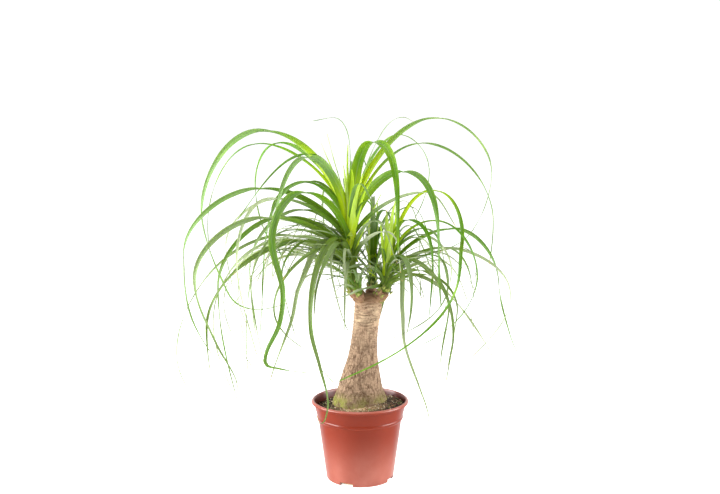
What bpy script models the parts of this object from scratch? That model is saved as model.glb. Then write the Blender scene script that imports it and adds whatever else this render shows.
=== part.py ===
"""Potted ponytail palm: a clay-coloured plastic pot, its potting soil, the swollen trunk
and four heads of long arching leaves.

Frame: the pot's axis is Z, the floor the pot stands on is Z = 0, the front is -Y.
"""
import math
import random

import bmesh
import bpy
import numpy as np
from mathutils import Matrix, Vector

MM = 0.001
GAP = 0.3                  # air between pieces that touch or stand in one another

# ---- pot (mm) ----
POT_HIGH = 144.0
LIP_R = 87.0               # outer radius of the rolled lip
LIP_DEEP = 6.0             # height of the lip's outer face
COLLAR_TOP_R = 82.0        # wall just under the lip
COLLAR_FOOT_R = 76.6       # wall just above the step
STEP_Z = 111.0
STEP_R = 74.9              # wall just under the step
FOOT_R = 60.0
WALL = 1.6
FLOOR = 2.0
POT_SIDES = 56

NOTCHES = 4
NOTCH_TURN = -24.0         # first notch, degrees from the front toward +X
NOTCH_WIDE = 25.0
NOTCH_HIGH = 6.5
NOTCH_INNER = 44.0         # how far in the pocket behind a notch starts
DRAIN_R = 3.5

# ---- soil (mm) ----
SOIL_EDGE_Z = 128.0
SOIL_CROWN_Z = 134.0
HEAP = 4.5                 # half of how much higher the soil is heaped at the front right
HEAP_TURN = -35.0
MOUTH_R = 52.6             # the hole round the trunk widens above its swollen foot
MOUTH_Z = 131.2

# ---- trunk (mm) ----
ROOT_R = 46.0
ROOT_Z = 96.0
TRUNK_SIDES = 26
# height, radius, centre's offset along X
TRUNK = (
    (132, 46, -1.5), (134, 50.5, -1.5), (142, 48, -1.2), (155, 44, -0.6), (170, 39.6, 0),
    (185, 35.4, 1), (200, 31.2, 2), (217, 27.4, 3.8), (235, 24.8, 5.6), (256, 23.3, 8),
    (279, 22.8, 10.8), (300, 23.8, 13), (316, 25.5, 15), (326, 24.5, 15.5),
    (333, 19.0, 16),
)

# ---- heads (mm): where the stem leaves the trunk, where its own piece starts, its top ----
HEADS = {
    "a": dict(root=(8, 0, 318), foot=(-12, -4, 345), top=(-21, -2, 446), radii=(12.5, 6)),
    "b": dict(root=(20, -3, 316), foot=(43, -10, 342), top=(57, -8, 404), radii=(12, 6)),
    "c": dict(root=(17, 8, 320), foot=(21, 18, 347), top=(26, 25, 398), radii=(9.5, 5)),
    "d": dict(root=(6, -12, 318), foot=(-2, -25, 340), top=(-6, -31, 360), radii=(7, 4.5)),
}
HEAD_NODE = {"a": "head_tall", "b": "head_right", "c": "head_back", "d": "head_low"}

# ---- leaves ----
# azimuth (degrees, 0 = +X, 90 = away from the front), then out and up (mm) of the crest, of
# the farthest reach (0, 0 where the leaf never turns back) and of the tip, the width (mm) and
# how far the azimuth swings on the way to the tip (degrees); an upright leaf has no crest.
# Pairs after that are spots (out, up) that the tail passes before it reaches the tip.
LEAVES = {
    "a": (
        (186, 152, 623, 260, 480, 112, 320, 22, 0, (250, 424), (231, 370), (208, 324), (170, 309)),
        (165, 170, 600, 275, 455, 268, 383, 7, 0),
        (155, 150, 600, 219, 505, 154, 389, 12, 0, (203, 434)),
        (200, 90, 585, 0, 0, 225, 480, 7, 0),
        (192, 160, 525, 292, 410, 244, 223, 12, 0, (284, 304)),
        (212, 175, 480, 297, 385, 233, 186, 13, 0, (265, 280), (233, 212)),
        (232, 115, 580, 0, 0, 216, 445, 17, 0),
        (238, 148, 524, 228, 450, 140, 228, 15, 0, (209, 372), (226, 322), (275, 274), (240, 254)),
        (205, 145, 510, 215, 395, 185, 240, 8, 0),
        (196, 75, 465, 0, 0, 130, 455, 6, 0),
        (178, 115, 440, 315, 225, 285, 140, 8, 0),
        (205, 105, 435, 265, 295, 260, 215, 14, 0),
        (172, 120, 430, 255, 280, 195, 90, 9, 0),
        (150, 165, 405, 290, 290, 215, 165, 9, 0),
        (230, 80, 425, 190, 345, 115, 255, 9, 0),
        (160, 110, 400, 0, 0, 240, 290, 8, 0),
        (226, 60, 436, 0, 0, 178, 205, 14, 0, (122, 366), (139, 304)),
        (235, 45, 440, 131, 300, 123, 143, 14, 0, (110, 226), (86, 162), (94, 131), (112, 126)),
        (240, 52, 434, 0, 0, 128, 315, 13, 0),
        (150, 45, 646, 0, 0, 85, 644, 7, 0),
        (8, 150, 645, 254, 545, 150, 410, 12, 0, (217, 444)),
        (20, 135, 648, 0, 0, 160, 640, 7, 0),
        (350, 125, 602, 245, 475, 233, 388, 7, 0),
        (310, 60, 605, 0, 0, 120, 425, 22, 0),
        (325, 105, 555, 0, 0, 185, 335, 17, 0),
        (335, 140, 520, 0, 0, 195, 465, 8, 0),
        (26, 128, 630, 200, 566, 160, 470, 11, 0, (186, 514)),
        (258, 22, 400, 0, 0, 70, 280, 9, 0),
        (235, 50, 422, 78, 350, 74, 292, 6, 27, (80, 318), (78, 286)),
    ),
    "b": (
        (0, 78, 520, 135, 430, 128, 218, 8, -150, (152, 340), (150, 262), (130, 208), (126, 200)),
        (345, 85, 470, 164, 375, 44, 235, 9, -20, (128, 295)),
        (10, 120, 450, 205, 350, 255, 212, 9, 0, (228, 258)),
        (355, 105, 420, 220, 335, 155, 225, 8, 0),
        (345, 85, 410, 120, 350, 60, 265, 8, -70),
        (340, 40, 375, 0, 0, 205, 215, 9, 0),
        (320, 40, 405, 152, 280, 139, 201, 11, 0),
        (305, 40, 410, 0, 0, 62, 270, 14, 0),
        (300, 40, 395, 0, 0, 124, 128, 11, 0, (61, 312), (64, 262), (103, 190), (130, 144)),
        (330, 40, 470, 0, 0, 90, 300, 9, 0),
        (216, 60, 352, 0, 0, 130, 342, 8, 0),
        (208, 45, 392, 0, 0, 95, 380, 11, 0),
    ),
    "c": (
        (85, 25, 505, 0, 0, 60, 455, 12, 0),
        (60, 30, 495, 0, 0, 65, 430, 12, 0),
        (62, 46, 405, 70, 345, 62, 228, 12, 25),
    ),
    "d": (
        (190, 30, 372, 0, 0, 60, 368, 8, 0),
    ),
}


def collection(name, shown=True):
    found = bpy.data.collections.new(name)
    bpy.context.scene.collection.children.link(found)
    if not shown:
        found.hide_render = True
    return found


def material(name, colour, rough):
    made = bpy.data.materials.new(name)
    made.use_nodes = True
    shader = made.node_tree.nodes["Principled BSDF"]
    shader.inputs["Base Color"].default_value = (*colour, 1)
    shader.inputs["Roughness"].default_value = rough
    made.diffuse_color = (*colour, 1)
    return made


def new_object(name, mesh, group, paint=None):
    thing = bpy.data.objects.new(name, mesh)
    group.objects.link(thing)
    if paint:
        mesh.materials.append(paint)
    return thing


def apply_modifiers(thing):
    bpy.context.view_layer.update()
    graph = bpy.context.evaluated_depsgraph_get()
    baked = bpy.data.meshes.new_from_object(thing.evaluated_get(graph), depsgraph=graph)
    thing.modifiers.clear()
    old = thing.data
    thing.data = baked
    bpy.data.meshes.remove(old)


def smooth(thing, angle=40):
    for face in thing.data.polygons:
        face.use_smooth = True
    thing.data.set_sharp_from_angle(angle=math.radians(angle))


def turned(name, profile, sides, group, paint=None):
    """A body turned about Z from (radius, height) points in mm, both ends on the axis."""
    mesh = bpy.data.meshes.new(name)
    mesh.from_pydata([(r * MM, 0, z * MM) for r, z in profile],
                     [(i, i + 1) for i in range(len(profile) - 1)], [])
    thing = new_object(name, mesh, group, paint)
    screw = thing.modifiers.new("Turn", "SCREW")
    screw.axis = "Z"
    screw.angle = math.tau
    screw.steps = screw.render_steps = sides
    screw.use_merge_vertices = True
    screw.merge_threshold = 0.0001
    apply_modifiers(thing)
    return thing


def block(name, size, centre, turn, group):
    """A box in mm, moved out along its own Y and then turned about Z."""
    mesh = bpy.data.meshes.new(name)
    shape = bmesh.new()
    bmesh.ops.create_cube(shape, size=1)
    place = Matrix.Rotation(math.radians(turn), 4, "Z") @ Matrix.Translation(
        Vector(centre) * MM) @ Matrix.Diagonal((*(Vector(size) * MM), 1))
    bmesh.ops.transform(shape, matrix=place, verts=shape.verts)
    shape.to_mesh(mesh)
    shape.free()
    return new_object(name, mesh, group)


def rod(name, foot, top, radii, sides, group):
    """A straight tapered rod in mm with flat ends."""
    foot, top = Vector(foot), Vector(top)
    run = top - foot
    mesh = bpy.data.meshes.new(name)
    shape = bmesh.new()
    bmesh.ops.create_cone(shape, cap_ends=True, segments=sides, radius1=radii[0] * MM,
                          radius2=radii[1] * MM, depth=run.length * MM)
    place = Matrix.Translation((foot + top) / 2 * MM) @ Vector((0, 0, 1)).rotation_difference(
        run).to_matrix().to_4x4()
    bmesh.ops.transform(shape, matrix=place, verts=shape.verts)
    shape.to_mesh(mesh)
    shape.free()
    return new_object(name, mesh, group)


def combine(thing, group, operation, solver="EXACT"):
    """Join or cut with all of a collection, which is then emptied."""
    cut = thing.modifiers.new("Combine", "BOOLEAN")
    cut.operation = operation
    cut.solver = solver
    cut.operand_type = "COLLECTION"
    cut.collection = group
    apply_modifiers(thing)
    for used in list(group.objects):
        bpy.data.objects.remove(used)


# ------------------------------------------------------------------ pot, soil and trunk
def notch_places():
    return [NOTCH_TURN + 360 / NOTCHES * i for i in range(NOTCHES)]


def make_pot(group, tools, paint):
    lip = POT_HIGH - LIP_DEEP
    profile = [
        (0, FLOOR), (FOOT_R - WALL - 1, FLOOR), (FOOT_R - WALL + 0.2, FLOOR + 1.5),
        (STEP_R - WALL, STEP_Z - 2), (COLLAR_FOOT_R - WALL, STEP_Z + 2),
        (COLLAR_TOP_R - WALL, lip - 1), (COLLAR_TOP_R - 0.6, POT_HIGH - 2.2),
        (COLLAR_TOP_R + 0.2, POT_HIGH - 0.5), (LIP_R - 3.8, POT_HIGH), (LIP_R - 2, POT_HIGH - 0.5),
        (LIP_R - 0.5, POT_HIGH - 1.8), (LIP_R, POT_HIGH - 3.4), (LIP_R - 0.4, lip + 0.8),
        (LIP_R - 1.6, lip), (COLLAR_TOP_R + 1, lip - 0.3), (COLLAR_TOP_R, lip - 1.5),
        (COLLAR_FOOT_R + 0.4, STEP_Z + 3.4), (COLLAR_FOOT_R + 0.8, STEP_Z + 2.2),
        (COLLAR_FOOT_R + 0.7, STEP_Z + 0.2), (COLLAR_FOOT_R - 0.6, STEP_Z - 1.2),
        (STEP_R, STEP_Z - 2.2), (FOOT_R + 0.3, 1.2),
        (FOOT_R - 0.8, 0), (0, 0),
    ]
    pot = turned("pot", profile, POT_SIDES, group, paint)
    for i, turn in enumerate(notch_places()):
        inner, outer = NOTCH_INNER - 2, FOOT_R - WALL
        block(f"pad_{i}", (NOTCH_WIDE + 4, outer - inner, NOTCH_HIGH + 1),
              (0, -(outer + inner) / 2, (NOTCH_HIGH + 3) / 2 + 0.5), turn, tools)
    combine(pot, tools, "UNION")
    for i, turn in enumerate(notch_places()):
        block(f"notch_{i}", (NOTCH_WIDE, 30, NOTCH_HIGH * 2),
              (0, -(NOTCH_INNER + 15), 0), turn, tools)
        place = Matrix.Rotation(math.radians(turn), 3, "Z") @ Vector((0, -50.5, 0))
        rod(f"drain_{i}", place + Vector((0, 0, 2)), place + Vector((0, 0, 14)),
            (DRAIN_R, DRAIN_R), 12, tools)
    combine(pot, tools, "DIFFERENCE")
    smooth(pot, 38)
    return pot


def inner_radius(z):
    """Inside radius of the pot at a height, in mm."""
    return float(np.interp(z, (FLOOR + 1.5, STEP_Z - 2, STEP_Z + 2, POT_HIGH - LIP_DEEP - 1),
                           (FOOT_R - WALL, STEP_R - WALL, COLLAR_FOOT_R - WALL,
                            COLLAR_TOP_R - WALL)))


def make_soil(group, tools, paint):
    room = GAP + 0.3
    profile = [(0, SOIL_CROWN_Z), (54, SOIL_CROWN_Z - 0.5), (66, (SOIL_CROWN_Z + SOIL_EDGE_Z) / 2),
               (inner_radius(SOIL_EDGE_Z) - room, SOIL_EDGE_Z)]
    profile += [(inner_radius(z) - room, z) for z in (STEP_Z + 2, STEP_Z - 2, FLOOR + 2)]
    profile += [(FOOT_R - WALL - GAP - 1.6, FLOOR + GAP), (0, FLOOR + GAP)]
    soil = turned("soil", profile, 40, group, paint)
    for point in soil.data.vertices:
        if point.co.z < (SOIL_EDGE_Z - 1) * MM:
            continue
        reach, turn = math.hypot(point.co.x, point.co.y) / MM, math.atan2(point.co.y, point.co.x)
        share = min(1, reach / 50)
        z = point.co.z / MM + share * HEAP * (1 + math.cos(turn - math.radians(HEAP_TURN)))
        if reach > 70:
            reach = inner_radius(z) - room
        point.co = (reach * math.cos(turn) * MM, reach * math.sin(turn) * MM, z * MM)
    for i, turn in enumerate(notch_places()):
        block(f"over_pad_{i}", (NOTCH_WIDE + 4 + 2 * GAP, 30, NOTCH_HIGH + 6),
              (0, -(NOTCH_INNER - 2 - GAP + 15), (NOTCH_HIGH + 3 + GAP + 0.5) / 2 - 0.45),
              turn, tools)
    centre = TRUNK[0][2]
    rod("root_hole", (centre, 0, ROOT_Z - GAP), (centre, 0, 150),
        (ROOT_R + 2 * GAP, ROOT_R + 2 * GAP), TRUNK_SIDES * 2, tools)
    rod("root_mouth", (centre, 0, MOUTH_Z), (centre, 0, 160), (MOUTH_R, MOUTH_R),
        TRUNK_SIDES * 2, tools)
    combine(soil, tools, "DIFFERENCE")
    smooth(soil, 30)
    return soil


def make_trunk(group, tools, paint):
    rings = [(ROOT_Z, ROOT_R, TRUNK[0][2])] + list(TRUNK)
    mesh = bpy.data.meshes.new("trunk")
    shape = bmesh.new()
    loops = []
    for z, radius, x in rings:
        swell = 0 if z <= 132 else 0.035 * min(1, (z - 132) / 20)
        loop = []
        for i in range(TRUNK_SIDES):
            turn = math.tau * i / TRUNK_SIDES
            wide = radius * (1 + swell * math.sin(3 * turn + z * 0.012)
                             + swell * 0.5 * math.sin(5 * turn - z * 0.02))
            loop.append(shape.verts.new(((x + wide * math.cos(turn)) * MM,
                                         wide * math.sin(turn) * MM, z * MM)))
        loops.append(loop)
    for low, high in zip(loops, loops[1:]):
        for i in range(TRUNK_SIDES):
            j = (i + 1) % TRUNK_SIDES
            shape.faces.new((low[i], low[j], high[j], high[i]))
    shape.faces.new(list(reversed(loops[0])))
    shape.faces.new(loops[-1])
    shape.to_mesh(mesh)
    shape.free()
    trunk = new_object("trunk", mesh, group, paint)
    for key, head in HEADS.items():
        wide = head["radii"][0]
        rod(f"branch_{key}", head["root"], head["foot"], (wide + 3, wide + 1), 14, tools)
    combine(trunk, tools, "UNION")
    smooth(trunk, 50)
    return trunk


# ------------------------------------------------------------------ leaves
def hermite(a, b, ta, tb, count):
    t = np.linspace(0, 1, count)[:, None]
    return ((2 * t**3 - 3 * t**2 + 1) * a + (t**3 - 2 * t**2 + t) * ta
            + (3 * t**2 - 2 * t**3) * b + (t**3 - t**2) * tb)


def spine(key, row, step=None, swing=0.0, lift=0.0):
    """Points along a leaf (mm) from inside its stem to its tip, and each one's azimuth."""
    azimuth, c_out, c_up, f_out, f_up, t_out, t_up, width, drift, *tail = row
    foot, top = (np.array(HEADS[key][end], float) for end in ("foot", "top"))
    reach = 170 if key == "a" else 110
    high = c_up or t_up - 40
    share = min(0.97, max(0.16, (high + lift - foot[2] - 30) / reach))
    share += 0.03 * math.sin(azimuth)
    start = foot + (top - foot) * share
    base = np.array((4.0, start[2]))
    crest, far, tip = (np.array(p, float) + (0, lift) for p in (
        (c_out, c_up), (f_out, f_up), (t_out, t_up)))
    if not c_up:
        run = tip - base
        early = run * (0.55, 1.15)
        line = [hermite(base, tip, early, 1.5 * run - 0.5 * early, 30)]
    else:
        chord = np.linalg.norm(crest - base)
        rise = math.atan2(crest[1] - base[1], crest[0] - base[0])
        rise = min(math.radians(88), max(-0.2, 2 * rise))
        line = [hermite(base, crest, np.array((math.cos(rise), math.sin(rise))) * chord * 1.15,
                        np.array((1.0, 0.0)) * chord * 0.85, 20)]
        turn, at = np.array((1.0, 0.0)), crest
        if f_out:
            chord = np.linalg.norm(far - crest)
            down = np.array((0.0, -1.0))
            line.append(hermite(crest, far, turn * chord * 1.1, down * chord, 20)[1:])
            turn, at = down, far
        stops = [np.array(p, float) + (0, lift) for p in tail] + [tip]
        for here, after in zip(stops, stops[1:]):
            chord = np.linalg.norm(here - at)
            bend = (after - at) / np.linalg.norm(after - at)
            line.append(hermite(at, here, turn * chord, bend * chord, 12)[1:])
            turn, at = bend, here
        chord = np.linalg.norm(tip - at)
        fall = tip - at
        if f_out or tail or c_up - t_up > 20:
            fall = 1.5 * fall - 0.5 * turn * chord
        line.append(hermite(at, tip, turn * chord, fall, 20)[1:])
    flat = np.concatenate(line)
    run = np.concatenate(([0], np.cumsum(np.linalg.norm(np.diff(flat, axis=0), axis=1))))
    count = max(5, round(run[-1] / step) + 1) if step else len(flat)
    even = np.linspace(0, 1, count) * run[-1]
    out, up = np.interp(even, run, flat[:, 0]), np.interp(even, run, flat[:, 1])
    part = even / run[-1]
    draw = random.Random(round(10 * sum(row[:7])))
    wave, sway = draw.uniform(-5, 5), draw.uniform(-6, 6)
    ripple = wave * part ** 2 * np.sin(math.tau * 1.2 * part)
    out, up = out + ripple * np.gradient(up, even), up - ripple * np.gradient(out, even)
    heading = np.radians(azimuth + swing + drift * part ** 3
                         + sway * part * np.sin(math.tau * 0.9 * part))
    hold = start[:2] + (foot[:2] - start[:2]) * part[:, None] ** 0.5
    points = np.stack((hold[:, 0] + out * np.cos(heading), hold[:, 1] + out * np.sin(heading),
                       up), axis=1)
    return points, heading


def width_at(share, width):
    """Full width of a blade along its length: clasping foot, widest early, thread-like tip."""
    belly = np.interp(share, (0, 0.05, 0.2, 0.42, 0.64, 0.84, 1),
                      (1.1, 0.85, 1, 0.88, 0.6, 0.34, 0.12))
    return belly * width


# sectors the extra leaves of a head are drawn in: azimuth from, to, how many, shortest and
# longest reach of the crest, lowest and highest crest, how far the tip hangs under the crest
# (-1 for the young, upright leaves of the heart, which end at their crest)
EXTRA = {
    "a": (
        (150, 235, 10, 70, 150, 410, 560, 90, 260),
        (60, 140, 9, 60, 150, 420, 600, 40, 130),
        (250, 330, 5, 40, 80, 420, 540, 20, 60),
        (90, 350, 11, 16, 72, 500, 596, -1, -1),
    ),
    "b": (
        (325, 395, 8, 50, 110, 375, 460, 50, 150),
        (40, 110, 5, 50, 110, 380, 460, 30, 90),
        (-90, 110, 9, 6, 34, 450, 532, -1, -1),
        (240, 320, 3, 30, 60, 380, 430, 10, 40),
    ),
    "c": (
        (20, 150, 12, 50, 130, 380, 500, 20, 110),
        (20, 200, 5, 10, 40, 430, 500, -1, -1),
    ),
    "d": (
        (200, 330, 6, 15, 36, 358, 394, 0, 18),
    ),
}
SEED = 41
STEP = 48                  # length of a blade's straight pieces (mm)
FREE_BASE = 60             # leaves of one head may touch up to here from their foot (mm)


def extra_rows(key):
    draw = random.Random(SEED + ord(key))
    rows = []
    for first, last, count, near, wide, low, high, hang, drop in EXTRA[key]:
        for i in range(count):
            part = (i * 0.618 + draw.uniform(0, 0.12)) % 1
            level = (i * 0.382 + draw.uniform(0, 0.2)) % 1
            crest = near + (wide - near) * draw.random(), low + (high - low) * level
            fall = draw.uniform(hang, drop)
            blade = draw.uniform(5, 10)
            azimuth = first + (last - first) * part
            drift = draw.uniform(-12, 12)
            if fall < 0:
                rows.append((azimuth, 0, 0, 0, 0, *crest, blade + 5, drift))
                continue
            far = crest[0] * 1.3 + 0.3 * fall, crest[1] - 0.45 * fall
            tip = far[0] - draw.uniform(-10, 0.25 * fall), max(70, crest[1] - 1.25 * fall)
            if tip[0] > far[0] - 12:
                far = 0, 0
            rows.append((azimuth, *crest, *far, *tip, blade, drift))
    return rows


def trunk_radius(z):
    heights = [ring[0] for ring in TRUNK]
    return (np.interp(z, heights, [ring[1] for ring in TRUNK]),
            np.interp(z, heights, [ring[2] for ring in TRUNK]))


def clear_of_the_rest(points, half, key):
    """True where a leaf keeps off the floor, pot, soil, trunk and the other heads' stems."""
    x, y, z = points.T
    if (z < 24).any():
        return False
    radius = np.hypot(x, y)
    if ((z < POT_HIGH + 7 + half) & (radius < LIP_R + 5 + half)).any():
        return False
    wide, centre = trunk_radius(z)
    low = z < 336
    if (low & (np.hypot(x - centre, y) < wide * 1.05 + half + 4)).any():
        return False
    along = np.linspace(0, 1, 12)[:, None]
    for other, head in HEADS.items():
        ends = ("root", "foot") if other == key else ("root", "foot", "top")
        for start, end in zip(ends, ends[1:]):
            a, b = np.array(head[start], float), np.array(head[end], float)
            stem = a + (b - a) * along
            room = head["radii"][0] + 4
            if end == "foot" and other == key:
                stem, room = stem[:-2], room - 1
            away = np.linalg.norm(points[3:, None] - stem[None], axis=2).min(axis=1)
            if (away < room + half[3:] * 0.9).any():
                return False
    return True


def place_leaves():
    """Settle every leaf where it meets nothing, trying small swings and lifts in turn."""
    tries = [(swing, lift) for lift in (0, 8, -8, 16, -16, 26) for swing in
             (0, 3, -3, 6, -6, 10, -10, 15, -15, 21, -21)]
    settled = {key: [] for key in HEADS}
    cloud = []
    rows = [(key, row, True) for key in HEADS for row in LEAVES[key]]
    rows += [(key, row, False) for key in HEADS for row in extra_rows(key)]
    for key, row, drawn in rows:
        best = None
        for swing, lift in tries:
            points, heading = spine(key, row, None, swing, lift)
            run = np.concatenate(([0], np.cumsum(np.linalg.norm(np.diff(points, axis=0),
                                                                axis=1))))
            half = width_at(run / run[-1], row[7]) / 2
            if not clear_of_the_rest(points, half, key):
                continue
            crossed, touched = False, 0
            for other, spots, wide, far in cloud:
                near = np.linalg.norm(points[:, None] - spots[None], axis=2)
                if other != key:
                    if (near < (half[:, None] + wide[None]) * 0.95 + 2.4).any():
                        crossed = True
                        break
                else:
                    both = (run[:, None] > FREE_BASE) & (far[None] > FREE_BASE)
                    touched += int((both & (near < (half[:, None] + wide[None]) * 0.6 + 1)).sum())
            if crossed:
                continue
            if best is None or touched < best[0]:
                best = (touched, points, heading, run, half, swing, lift)
            if not touched:
                break
        if best is None:
            print("left out", key, [round(v) for v in row])
            continue
        touched, points, heading, run, half, swing, lift = best
        cloud.append((key, points, half, run))
        settled[key].append((row, swing, lift))
    for key in HEADS:
        print(key, len(settled[key]), "leaves")
    return settled


def blade(name, key, row, swing, lift, group):
    """One leaf: a keeled blade of three sides that narrows to a thread."""
    points, heading = spine(key, row, STEP, swing, lift)
    count = len(points)
    shape = bmesh.new()
    loops = []
    for i in range(count):
        share = i / (count - 1)
        along = Vector(points[min(i + 1, count - 1)] - points[max(i - 1, 0)]).normalized()
        side = Vector((math.sin(heading[i]), -math.cos(heading[i]), 0))
        side = (side - along * side.dot(along)).normalized()
        up = side.cross(along)
        half = float(width_at(share, row[7])) / 2
        deep = 1.0 + 0.1 * half * 2
        if i == 0:
            half, deep = half * 0.8, deep + 1.5
        at = Vector(points[i])
        loops.append([shape.verts.new((at + offset) * MM) for offset in (
            side * half + up * 0.25 * deep, side * -half + up * 0.25 * deep, up * -0.75 * deep)])
    for low, high in zip(loops, loops[1:]):
        for i in range(3):
            j = (i + 1) % 3
            shape.faces.new((low[i], low[j], high[j], high[i]))
    shape.faces.new(list(reversed(loops[0])))
    shape.faces.new(loops[-1])
    bmesh.ops.recalc_face_normals(shape, faces=shape.faces)
    mesh = bpy.data.meshes.new(name)
    shape.to_mesh(mesh)
    shape.free()
    return new_object(name, mesh, group)


def stem(key, group):
    """A head's stem. Its foot is square to the branch it stands on, a gap above it."""
    head = HEADS[key]
    root, foot, top = (Vector(head[end]) for end in ("root", "foot", "top"))
    branch, run = (foot - root).normalized(), (top - foot).normalized()
    wide, thin = head["radii"]
    rings = ((foot + branch * GAP, branch, wide), (foot + branch * 4 + run * 2, branch + run, wide),
             (foot.lerp(top, 0.5), run, (wide + thin) * 0.5), (top + run * 8, run, thin))
    sides = 10
    shape = bmesh.new()
    loops = []
    for centre, axis, radius in rings:
        axis = axis.normalized()
        across = (Vector((0, 1, 0)) - axis * axis.y).normalized()
        third = axis.cross(across)
        loops.append([shape.verts.new((centre + radius * (
            across * math.cos(math.tau * i / sides) + third * math.sin(math.tau * i / sides))) * MM)
            for i in range(sides)])
    for low, high in zip(loops, loops[1:]):
        for i in range(sides):
            j = (i + 1) % sides
            shape.faces.new((low[i], low[j], high[j], high[i]))
    shape.faces.new(loops[0])
    shape.faces.new(loops[-1])
    bmesh.ops.recalc_face_normals(shape, faces=shape.faces)
    mesh = bpy.data.meshes.new(HEAD_NODE[key])
    shape.to_mesh(mesh)
    shape.free()
    return new_object(HEAD_NODE[key], mesh, group)


def make_head(key, rows, group, tools, paint):
    head = stem(key, group)
    head.data.materials.append(paint)
    for i, (row, swing, lift) in enumerate(rows):
        blade(f"leaf_{key}_{i}", key, row, swing, lift, tools)
    combine(head, tools, "UNION", SOLVER)
    fill_pockets(head)
    return head


SOLVER = "MANIFOLD"


def fill_pockets(thing):
    """Fill the small pockets that are closed in among the leaves' feet."""
    shape = bmesh.new()
    shape.from_mesh(thing.data)
    bmesh.ops.triangulate(shape, faces=[f for f in shape.faces if len(f.verts) > 4])
    unseen, shells = set(shape.faces), []
    while unseen:
        shell, edge = [], [unseen.pop()]
        while edge:
            face = edge.pop()
            shell.append(face)
            for side in face.edges:
                for other in side.link_faces if len(side.link_faces) == 2 else ():
                    if other in unseen:
                        unseen.discard(other)
                        edge.append(other)
        shells.append(shell)
    shells.sort(key=len)
    for pocket in shells[:-1]:
        print(thing.name, "pocket filled:", len(pocket), "faces")
        bmesh.ops.delete(shape, geom=pocket, context="FACES")
    shape.to_mesh(thing.data)
    shape.free()


def main():
    for old in list(bpy.data.objects):
        bpy.data.objects.remove(old)
    palm = collection("ponytail_palm")
    tools = collection("tools", shown=False)
    make_pot(palm, tools, material("clay_plastic", (0.56, 0.115, 0.07), 0.38))
    make_soil(palm, tools, material("potting_soil", (0.035, 0.024, 0.017), 0.95))
    make_trunk(palm, tools, material("trunk_bark", (0.50, 0.35, 0.21), 0.85))
    leafy = {
        "a": material("leaf_tall", (0.20, 0.30, 0.09), 0.5),
        "b": material("leaf_right", (0.24, 0.34, 0.10), 0.5),
        "c": material("leaf_back", (0.10, 0.17, 0.07), 0.5),
        "d": material("leaf_low", (0.16, 0.24, 0.08), 0.5),
    }
    settled = place_leaves()
    for key in HEADS:
        make_head(key, settled[key], palm, tools, leafy[key])


main()
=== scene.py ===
"""Potted ponytail palm, dressed: moulded pot, gritty soil, cracked trunk and arching leaves."""
import functools
import random
from math import atan2, cos, degrees, exp, hypot, radians, sin, sqrt, tau

import bmesh
import bpy
import numpy as np
from bpy.props import (
    EnumProperty, FloatProperty, FloatVectorProperty, IntProperty, PointerProperty)
from bpy.types import Operator, Panel, PropertyGroup
from mathutils import Matrix, Vector, noise


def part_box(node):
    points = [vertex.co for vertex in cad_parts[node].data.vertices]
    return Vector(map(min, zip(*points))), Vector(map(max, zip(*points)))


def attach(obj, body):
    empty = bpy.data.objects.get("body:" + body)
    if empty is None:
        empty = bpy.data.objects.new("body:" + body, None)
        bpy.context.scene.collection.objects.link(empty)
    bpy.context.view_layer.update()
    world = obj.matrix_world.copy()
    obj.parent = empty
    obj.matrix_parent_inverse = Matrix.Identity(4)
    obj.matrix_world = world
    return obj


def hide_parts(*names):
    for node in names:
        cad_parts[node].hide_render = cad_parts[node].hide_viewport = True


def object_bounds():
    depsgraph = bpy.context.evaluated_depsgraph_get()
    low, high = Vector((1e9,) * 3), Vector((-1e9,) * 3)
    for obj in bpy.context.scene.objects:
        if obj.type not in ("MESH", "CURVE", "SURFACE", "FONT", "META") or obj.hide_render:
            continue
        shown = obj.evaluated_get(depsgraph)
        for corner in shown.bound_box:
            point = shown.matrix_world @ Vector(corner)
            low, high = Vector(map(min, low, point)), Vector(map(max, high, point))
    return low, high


bl_info = {
    "name": "Potted Ponytail Palm",
    "version": (1, 0, 0),
    "blender": (4, 5, 0),
    "location": "View3D > Sidebar > Palm",
    "description": "Builds the pot, soil, trunk and leaf heads of a potted ponytail palm",
    "category": "Add Mesh",
}

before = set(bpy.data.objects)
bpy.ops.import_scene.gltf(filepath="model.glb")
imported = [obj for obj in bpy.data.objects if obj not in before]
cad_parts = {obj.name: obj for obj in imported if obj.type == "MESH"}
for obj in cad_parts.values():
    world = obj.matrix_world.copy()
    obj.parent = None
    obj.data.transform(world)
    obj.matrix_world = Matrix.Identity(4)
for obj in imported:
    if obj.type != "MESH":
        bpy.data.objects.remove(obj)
CAD_BOX = [list(corner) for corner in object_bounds()]
POT_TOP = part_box("pot")[1]
POT_HIGH, LIP_R = POT_TOP[2] * 1000, POT_TOP[0] * 1000
MM = 0.001
norm = np.linalg.norm


def srgb(red, green, blue):
    """Display values 0-255 as linear light."""
    return tuple((c / 3294.6) if c <= 10.31 else ((c / 255 + 0.055) / 1.055) ** 2.4
                 for c in (red, green, blue))


def polar(reach, turn):
    return reach * cos(turn), reach * sin(turn)


# ------------------------------------------------------------------------- settings
def colour_setting(name, description, default):
    return FloatVectorProperty(name=name, description=description, subtype="COLOR", size=3,
                               min=0, max=1, default=default)


def number_setting(name, description, low, high, default, kind=FloatProperty, **more):
    return kind(name=name, description=description, min=low, max=high, default=default, **more)


class PalmPotSettings(PropertyGroup):
    colour: colour_setting("Clay colour", "Colour of the moulded plastic", srgb(124, 38, 12))
    roughness: number_setting("Roughness", "Roughness of the satin wall", 0, 1, 0.3,
                              subtype="FACTOR")
    wall: number_setting("Wall", "Thickness of the pot's wall in millimetres", 0.8, 3, 1.5)
    sides: number_setting("Sides", "Steps around the turned pot", 48, 256, 160, IntProperty)


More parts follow.
